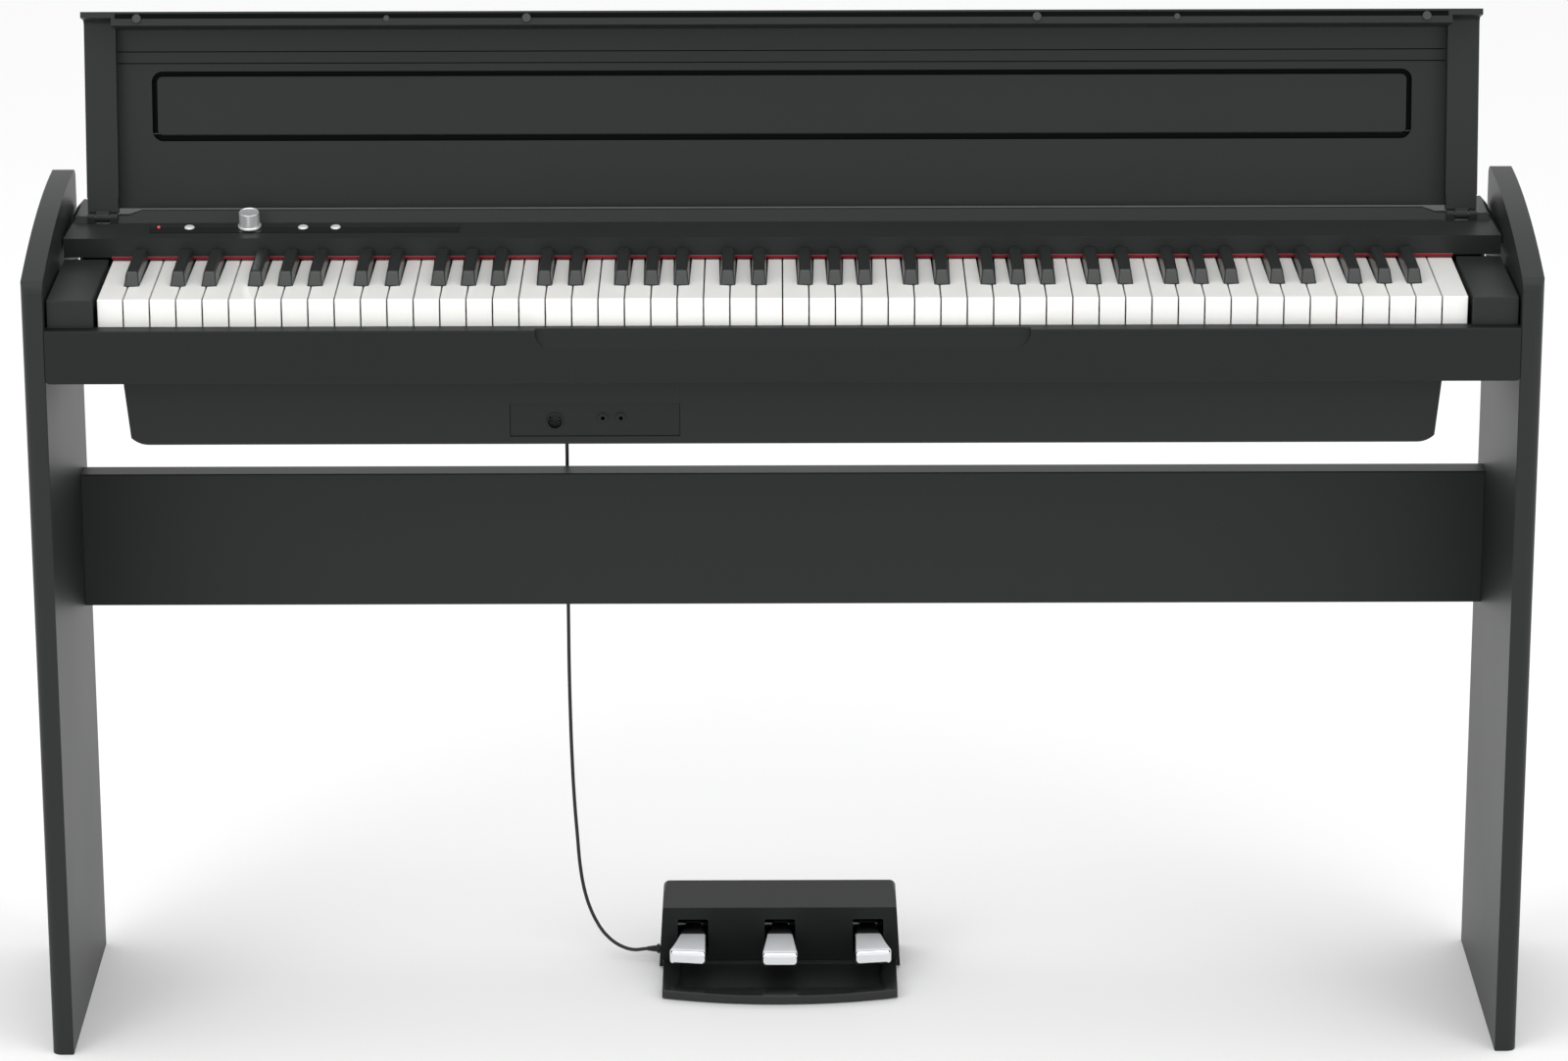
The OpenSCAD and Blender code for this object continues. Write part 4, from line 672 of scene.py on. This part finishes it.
def black_key(i):
    """One black key: tapered, sloped at the front, well rounded on top."""
    middle = sharp_middle(i)
    bm = bmesh.new()
    rings = []
    levels = ((6.85, SHARP_FRONT, 708), (6.85, SHARP_FRONT, 724.5), (5.25, SHARP_FRONT + 8, 736))
    for half, front, z in levels:
        rings.append([bm.verts.new(((middle + s * half) * MM, y * MM, z * MM))
                      for s, y in ((-1, front), (1, front), (1, SHARP_BACK), (-1, SHARP_BACK))])
    bm.faces.new(rings[0][::-1])
    bm.faces.new(rings[2])
    for low, high in zip(rings, rings[1:]):
        for k in range(4):
            n = (k + 1) % 4
            bm.faces.new((low[k], low[n], high[n], high[k]))
    crown = [e for e in bm.edges if any(v.co.z > 735 * MM for v in e.verts)]
    bmesh.ops.bevel(bm, geom=crown, offset=2.1 * MM, segments=4, profile=0.5,
                    affect="EDGES", clamp_overlap=True)
    rim = [e for e in bm.edges if len(e.link_faces) == 2 and e.calc_face_angle(0) > 0.6]
    bmesh.ops.bevel(bm, geom=rim, offset=0.4 * MM, segments=2, profile=0.5,
                    affect="EDGES", clamp_overlap=True)
    arm(bm, middle)
    return to_mesh(bm, "black_key", 40)


def octave_row():
    """Keys of one name, one to an octave."""
    t = Tree("keys_by_octave", Key="Object", Keys="Int", Octave="Float", Finish="Material")
    step = t.add("ShaderNodeCombineXYZ", X=t.input("Octave"))
    places = t.add("GeometryNodeMeshLine", Count=t.input("Keys"), Offset=step.outputs[0])
    source = t.add("GeometryNodeObjectInfo", Object=t.input("Key"))
    keys = t.add("GeometryNodeInstanceOnPoints", Points=places.outputs[0],
                 Instance=source.outputs["Geometry"])
    return t.close(keys.outputs[0])


OCTAVES = octave_row()


def keys_of(name, make, members):
    """One piece for all the keys of a name; a key whose shape differs is its own run."""
    runs = []
    for i in members:
        shape = tail_sides(i) if make is white_key else (0, 0)
        form = [round(v - key_left(i), 3) for v in shape]
        if runs and runs[-1][1] == form:
            runs[-1][0].append(i)
        else:
            runs.append(([i], form))
    joined = bmesh.new()
    for group, _ in runs:
        source = bpy.data.objects.new("one_key", make(group[0]))
        scene.collection.objects.link(source)
        look = LOOKS[SLOT_OF[name]]
        row = grown(OCTAVES, name, Key=source, Keys=len(group),
                    Octave=len(LETTERS) * PITCH * MM, Finish=look)
        joined.from_mesh(row)
        bpy.data.objects.remove(source)
    mesh = bpy.data.meshes.new(name + "_row")
    joined.to_mesh(mesh)
    joined.free()
    piece(name + "_row", mesh, name, name)


for n, letter in enumerate(LETTERS):
    keys_of("keys_" + letter, white_key, list(range(n, WHITES, 7)))
    if letter in SHARP_SHIFT:
        keys_of("keys_" + letter + "_sharp", black_key, list(range(n, WHITES - 1, 7)))


# ---------- case, lid and stand ----------

for part in ("left_side_panel", "right_side_panel"):
    eased(part, 0.6)
eased("rear_stretcher", 0.5)
eased("front_rail", 0.5)
eased("key_blocks", 1.0)
eased("control_panel", 0.5)
eased("panel_inset", 0.25)
eased("rear_cover", 0.8)


def butted(a, b):
    """True for the edges where the box's front boards meet each other and the box behind."""
    behind = all(-95 < v.y < -93.5 for v in (a, b))
    beside = all(-248.2 < v.x < -92.3 and v.y < -93.5 for v in (a, b))
    return behind or beside


eased("speaker_box", 1.2, crisp=butted)
eased("jack_plate", 0.4)
eased("lid_shell", 0.6)
eased("music_rest", 0.5)
eased("lid_hinges", 0.4)
eased("lid_edge_strip", 0.4)
eased("lid_pads", 0.6)
eased("stand_brackets", 0.3, 1)
eased("pedal_base", 0.7)
eased("pedal_cover", 1.0)
eased("pedal_feet", 0.3)


# ---------- knob, buttons and lamp ----------

TILT = math.atan2(6, 33.2)
HALF_IN = 661
PANEL_FOOT = (10.8, 745)


def on_panel(x, up=22.5, out=0.0):
    """A place on the slope of the control panel, its Z square to the slope."""
    foot = Matrix.Translation(Vector((x, *PANEL_FOOT)) * MM)
    lean = Matrix.Rotation(TILT, 4, "X")
    return foot @ lean @ Matrix.Translation(Vector((0, up * MM, out * MM)))


spun("volume_cap", [
    (0, 14.2), (7.6, 14.2), (8.3, 14.5), (8.9, 15.0), (9.15, 14.7), (9.2, 14.2), (9.5, 3.2),
    (9.7, 2.5), (10.3, 2.3), (10.6, 1.9), (10.7, 1.4), (10.7, 0.5), (10.4, 0.1), (10, 0),
    (3.05, 0), (3.05, 11.5), (0, 11.5),
], on_panel(-HALF_IN + 171.2, out=1.3), "volume_knob", 96)

for part, from_left in (("power_button", 115.8), ("sound_button", 220.3), ("song_button", 250.2)):
    spun(part + "_cap", [
        (0, 2.0), (2.2, 1.95), (3.6, 1.75), (4.3, 1.35), (4.62, 0.8), (4.7, 0.2), (4.7, -3.9),
        (6.1, -3.9), (6.1, -5.5), (2, -5.5), (2, -8.4), (0, -8.4),
    ], on_panel(-HALF_IN + from_left), part, 48)


# ---------- pedals ----------

SLOT_Y, PLATE_BACK, ARM_BACK = 67, 66, 104.0
NECK_HALF, FLARE, NOSE, NOSE_STEPS, BAR_STEPS = 12.6, 9.0, 5.5, 8, 10
PLATE_TOP, PLATE_FOOT, ARM_TOP, ARM_FOOT, ARM_HALF = 38.8, 23.8, 34.0, 26.0, 8.0
AXLE_AT, AXLE_BORE, HUB = (112, 30), 3.05, 8.0


def pedal(node, middle, reach, left, right):
    """A plated pedal: a tapered bar that flares to a rounded, slightly bowed front."""
    front = SLOT_Y - reach
    nose = []
    for k in range(NOSE_STEPS + 1):
        turn = math.radians(90 * k / NOSE_STEPS)
        nose.append((front + NOSE * (1 - math.sin(turn)), 1 - math.cos(turn)))
    step = (PLATE_BACK - front - NOSE) / BAR_STEPS
    bar = [(front + NOSE + step * k, 0) for k in range(1, BAR_STEPS + 1)]
    stations = nose[::-1] + bar + [(ARM_BACK, 0)]
    bm = bmesh.new()
    rings = []
    for y, pinch in stations:
        spread = FLARE * min(1, max(0, (PLATE_BACK - 1 - y) / (PLATE_BACK - 5 - front)))
        if y > PLATE_BACK + 0.5:
            half_l = half_r = ARM_HALF
            lo, hi = ARM_FOOT, ARM_TOP
        else:
            half_l, half_r = (NECK_HALF + side * spread - 1.5 * pinch for side in (left, right))
            lo, hi = PLATE_FOOT + 3.0 * pinch, PLATE_TOP - 5.0 * pinch
        ring = []
        r = 3.0
        corners = ((half_r - r, hi - r, 0), (r - half_l, hi - r, 90),
                   (r - half_l, lo + r, 180), (half_r - r, lo + r, 270))
        for cx, cz, start in corners:
            for a in range(5):
                angle = math.radians(start + a * 22.5)
                x, z = cx + r * math.cos(angle), cz + r * math.sin(angle)
                bow = 4.6 * (2 * x / (half_l + half_r)) ** 2 * max(0, 1 - (y - front) / 30)
                ring.append(bm.verts.new(((middle + x) * MM, (y + bow) * MM, z * MM)))
        rings.append(ring)
    for first, second in zip(rings, rings[1:]):
        for k in range(len(first)):
            n = (k + 1) % len(first)
            bm.faces.new((first[k], first[n], second[n], second[k]))
    bm.faces.new(rings[0])
    bm.faces.new(rings[-1][::-1])
    hub, turns = [], 32
    for x in (middle - ARM_HALF, middle + ARM_HALF):
        for radius in (HUB, AXLE_BORE):
            ring = []
            for k in range(turns):
                a = 2 * math.pi * k / turns
                y, z = AXLE_AT[0] + radius * math.cos(a), AXLE_AT[1] + radius * math.sin(a)
                ring.append(bm.verts.new((x * MM, y * MM, z * MM)))
            hub.append(ring)
    for a, b in ((0, 2), (1, 3), (0, 1), (2, 3)):
        for k in range(turns):
            n = (k + 1) % turns
            bm.faces.new((hub[a][k], hub[a][n], hub[b][n], hub[b][k]))
    return piece(node + "_plate", to_mesh(bm, node + "_plate", 50), node, node)


pedal("left_pedal", -87.5, 52, 1.0, 0.05)
pedal("middle_pedal", -3.75, 57, 0.5, 0.5)
pedal("right_pedal", 81.0, 52, 0.05, 1.0)

GLAND_AT = (-119.9, 95, 11)
spun("cord_boot", [
    (0, -3), (3, -3), (3, 0), (4.6, 0), (4.6, 2.2), (4.2, 2.6), (3.4, 2.6), (3.3, 4.0), (2.8, 4.2),
    (2.8, 4.8), (3.1, 5.0), (3.0, 6.4), (2.6, 6.6), (2.6, 7.2), (2.8, 7.4), (2.6, 9.0), (2.3, 9.2),
    (2.3, 9.8), (2.4, 10.0), (2.1, 12.2), (0, 12.2),
], Matrix.Translation(Vector(GLAND_AT) * MM) @ Matrix.Rotation(-math.pi / 2, 4, "Y"), "cord_gland", 40)


# ---------- screws and grilles ----------

def screw_row():
    """Cross-head screws at the points of a mesh, all turned the same way."""
    t = Tree("screws", Places="Object", Head="Float", Height="Float", Turn="Vector",
             Finish="Material")
    source = t.add("GeometryNodeObjectInfo", Object=t.input("Places"))
    head = t.add("GeometryNodeMeshCylinder", {"fill_type": "NGON"}, Vertices=24, Radius=t.input("Head"),
                 Depth=t.input("Height"))
    arm_size = t.add("ShaderNodeMath", {"operation": "MULTIPLY"}, _0=t.input("Head"), _1=1.1)
    slot_size = t.add("ShaderNodeMath", {"operation": "MULTIPLY"}, _0=t.input("Head"), _1=0.26)
    cutters = []
    for along in (0, 1):
        size = t.add("ShaderNodeCombineXYZ", Z=t.input("Height"))
        t.tree.links.new(arm_size.outputs[0], size.inputs[along])
        t.tree.links.new(slot_size.outputs[0], size.inputs[1 - along])
        bar = t.add("GeometryNodeMeshCube", Size=size.outputs[0])
        lift = t.add("ShaderNodeCombineXYZ", Z=t.input("Height"))
        raised = t.add("GeometryNodeTransform", Geometry=bar.outputs[0], Translation=lift.outputs[0])
        cutters.append(raised.outputs[0])
    cut = t.add("GeometryNodeMeshBoolean", {"operation": "DIFFERENCE", "solver": "EXACT"},
                _0=head.outputs[0])
    for cutter in cutters:
        t.tree.links.new(cutter, cut.inputs[1])
    turned = t.add("GeometryNodeTransform", Geometry=cut.outputs[0], Rotation=t.input("Turn"))
    heads = t.add("GeometryNodeInstanceOnPoints", Points=source.outputs["Geometry"],
                  Instance=turned.outputs[0])
    return t.close(heads.outputs[0])


SCREWS = screw_row()


def screws(name, places, node, head, height, turn):
    points = bpy.data.meshes.new("places")
    points.from_pydata([Vector(p) * MM for p in places], [], [])
    marks = bpy.data.objects.new("places", points)
    scene.collection.objects.link(marks)
    mesh = grown(SCREWS, name, Places=marks, Head=head * MM, Height=height * MM, Turn=turn,
                 Finish=LOOKS[SLOT_OF[node]])
    bpy.data.objects.remove(marks)
    mesh.set_sharp_from_angle(angle=math.radians(30))
    return piece(name, mesh, node)


LID_PIVOT, LID_OPEN = (0, 47, 755.5), 108.3
FACE_AT, FACE_LEAN = (-17.9, 15.3), math.radians(10.28)
OPENED = Matrix.Translation(Vector(LID_PIVOT)) @ Matrix.Rotation(math.radians(-LID_OPEN), 4, "X")
FACE = (Matrix.Translation(Vector((0, *FACE_AT))) @ Matrix.Rotation(FACE_LEAN, 4, "X"))


def lid_place(x, y, z):
    """A place in the closed lid's frame, on the open lid."""
    return OPENED @ Vector((x, y, z))


def lid_face_place(x, y, z):
    """A place on the lid's inner face (y towards the hinge, z into the lid), on the open lid."""
    return OPENED @ FACE @ Vector((x, y, z))


GROOVE_HALF, GROOVE_LOW, GROOVE_HIGH = 580.5, -118.1, -53.6
MOULD_LINES, LINE_HALF, LINE_LENGTH = (-136.2, -125.5), 0.48, 611.2


def groove_lining():
    """A near-black sheet on the wall and floor of the groove round the music rest, and near-black strips
    on the mould lines: painted shade in these recesses.
    """
    def outline(inset, radius, steps=8):
        half, low, high = GROOVE_HALF - inset, GROOVE_LOW + inset, GROOVE_HIGH - inset
        corners = ((half - radius, high - radius, 0), (radius - half, high - radius, 90),
                   (radius - half, low + radius, 180), (half - radius, low + radius, 270))
        return [(cx + radius * math.cos(math.radians(start + 90 * k / steps)),
                 cy + radius * math.sin(math.radians(start + 90 * k / steps)))
                for cx, cy, start in corners for k in range(steps + 1)]

    bm = bmesh.new()
    rings = []
    # Painted shade: the sheet lies just above the groove's wall and floor and darkens them, and the
    # strips darken the mould lines.
    for inset, radius, depth in ((0.08, 9.9, 0.3), (0.12, 9.9, 3.93), (6.0, 4.5, 3.93)):
        rings.append([bm.verts.new(lid_face_place(x, y, depth) * MM) for x, y in outline(inset, radius)])
    for first, second in zip(rings, rings[1:]):
        for k in range(len(first)):
            n = (k + 1) % len(first)
            bm.faces.new((first[k], first[n], second[n], second[k]))
    for y in MOULD_LINES:
        y0, y1 = y - LINE_HALF, y + LINE_HALF
        for x0, x1 in ((-LINE_LENGTH, 0), (0, LINE_LENGTH)):
            corners = [(x0, y0), (x1, y0), (x1, y1), (x0, y1)]
            bm.faces.new([bm.verts.new(lid_face_place(x, v, 0.3) * MM) for x, v in corners])
    return piece("groove_lining", to_mesh(bm, "groove_lining"), "lid_edge_strip")


def speaker_grille():
    """Round bars across a speaker opening, each as long as the opening is there."""
    t = Tree("grille", Radius="Float", Bars="Int", Bar_width="Float", Finish="Material")
    span = t.add("ShaderNodeMath", {"operation": "MULTIPLY"}, _0=t.input("Radius"), _1=2.0)
    gaps = t.add("ShaderNodeMath", {"operation": "ADD"}, _0=t.input("Bars"), _1=1.0)
    pitch = t.add("ShaderNodeMath", {"operation": "DIVIDE"}, _0=span.outputs[0], _1=gaps.outputs[0])
    step = t.add("ShaderNodeCombineXYZ", Y=pitch.outputs[0])
    low = t.add("ShaderNodeMath", {"operation": "SUBTRACT"}, _0=pitch.outputs[0], _1=t.input("Radius"))
    start = t.add("ShaderNodeCombineXYZ", Y=low.outputs[0])
    places = t.add("GeometryNodeMeshLine", Count=t.input("Bars"), Start_Location=start.outputs[0],
                   Offset=step.outputs[0])
    where = t.add("GeometryNodeInputPosition")
    parts = t.add("ShaderNodeSeparateXYZ", _0=where.outputs[0])
    far = t.add("ShaderNodeMath", {"operation": "MULTIPLY"}, _0=parts.outputs["Y"],
                _1=parts.outputs["Y"])
    near = t.add("ShaderNodeMath", {"operation": "MULTIPLY"}, _0=t.input("Radius"), _1=t.input("Radius"))
    left = t.add("ShaderNodeMath", {"operation": "SUBTRACT"}, _0=near.outputs[0], _1=far.outputs[0])
    chord = t.add("ShaderNodeMath", {"operation": "SQRT"}, _0=left.outputs[0])
    length = t.add("ShaderNodeMath", {"operation": "MULTIPLY"}, _0=chord.outputs[0], _1=2.0)
    stretch = t.add("ShaderNodeCombineXYZ", X=length.outputs[0], Y=1.0, Z=1.0)
    size = t.add("ShaderNodeCombineXYZ", X=1.0, Y=t.input("Bar width"), Z=t.input("Bar width"))
    bar = t.add("GeometryNodeMeshCube", Size=size.outputs[0])
    bars = t.add("GeometryNodeInstanceOnPoints", Points=places.outputs[0], Instance=bar.outputs[0],
                 Scale=stretch.outputs[0])
    return t.close(bars.outputs[0])


GRILLE = speaker_grille()
GRILLE_RADIUS, GRILLE_BARS, BAR_WIDTH = 46, 12, 1.6
for side, x in (("left", -406), ("right", 406)):
    bars = grown(GRILLE, side + "_grille", **{
        "Radius": GRILLE_RADIUS * MM, "Bars": GRILLE_BARS, "Bar width": BAR_WIDTH * MM,
        "Finish": LOOKS["jack_plastic"]})
    bars.transform(Matrix.Translation(Vector((x, 16, 584)) * MM))
    piece(side + "_grille", bars, "jack_plate")

groove_lining()
screws("lid_screws", [lid_place(x, -178.2, -54.0) for x in (-361, 361)], "lid_pads", 2.6, 0.8,
       (math.radians(180 - LID_OPEN), 0, 0))
screws("back_screws", [(x, 132.2, z) for x in (-600, -360, -120, 120, 360, 600) for z in (672, 742)],
       "stand_bolts", 3.2, 1.2, (math.radians(-90), 0, 0))
screws("box_screws", [(x, y, 580.8) for x in (-560, -280, 0, 280, 560) for y in (-90, 122)],
       "stand_bolts", 3.2, 1.2, (math.radians(180), 0, 0))


# ---------- floor ----------

def floor():
    mesh = bpy.data.meshes.new("floor")
    reach = 9
    corners = [(x * reach, y * reach, 0) for x, y in ((-1, -1), (1, -1), (1, 1), (-1, 1))]
    mesh.from_pydata(corners, [], [(0, 1, 2, 3)])
    ground = bpy.data.objects.new("floor", mesh)
    scene.collection.objects.link(ground)
    f = Finish("pale floor", Roughness=0.9, Specular_IOR_Level=0.1)
    f.feed("Base Color", f.between(f.noise(0.6, 2), (0.9, 0.9, 0.9), (0.93, 0.93, 0.93)))
    mesh.materials.append(f.material)


floor()
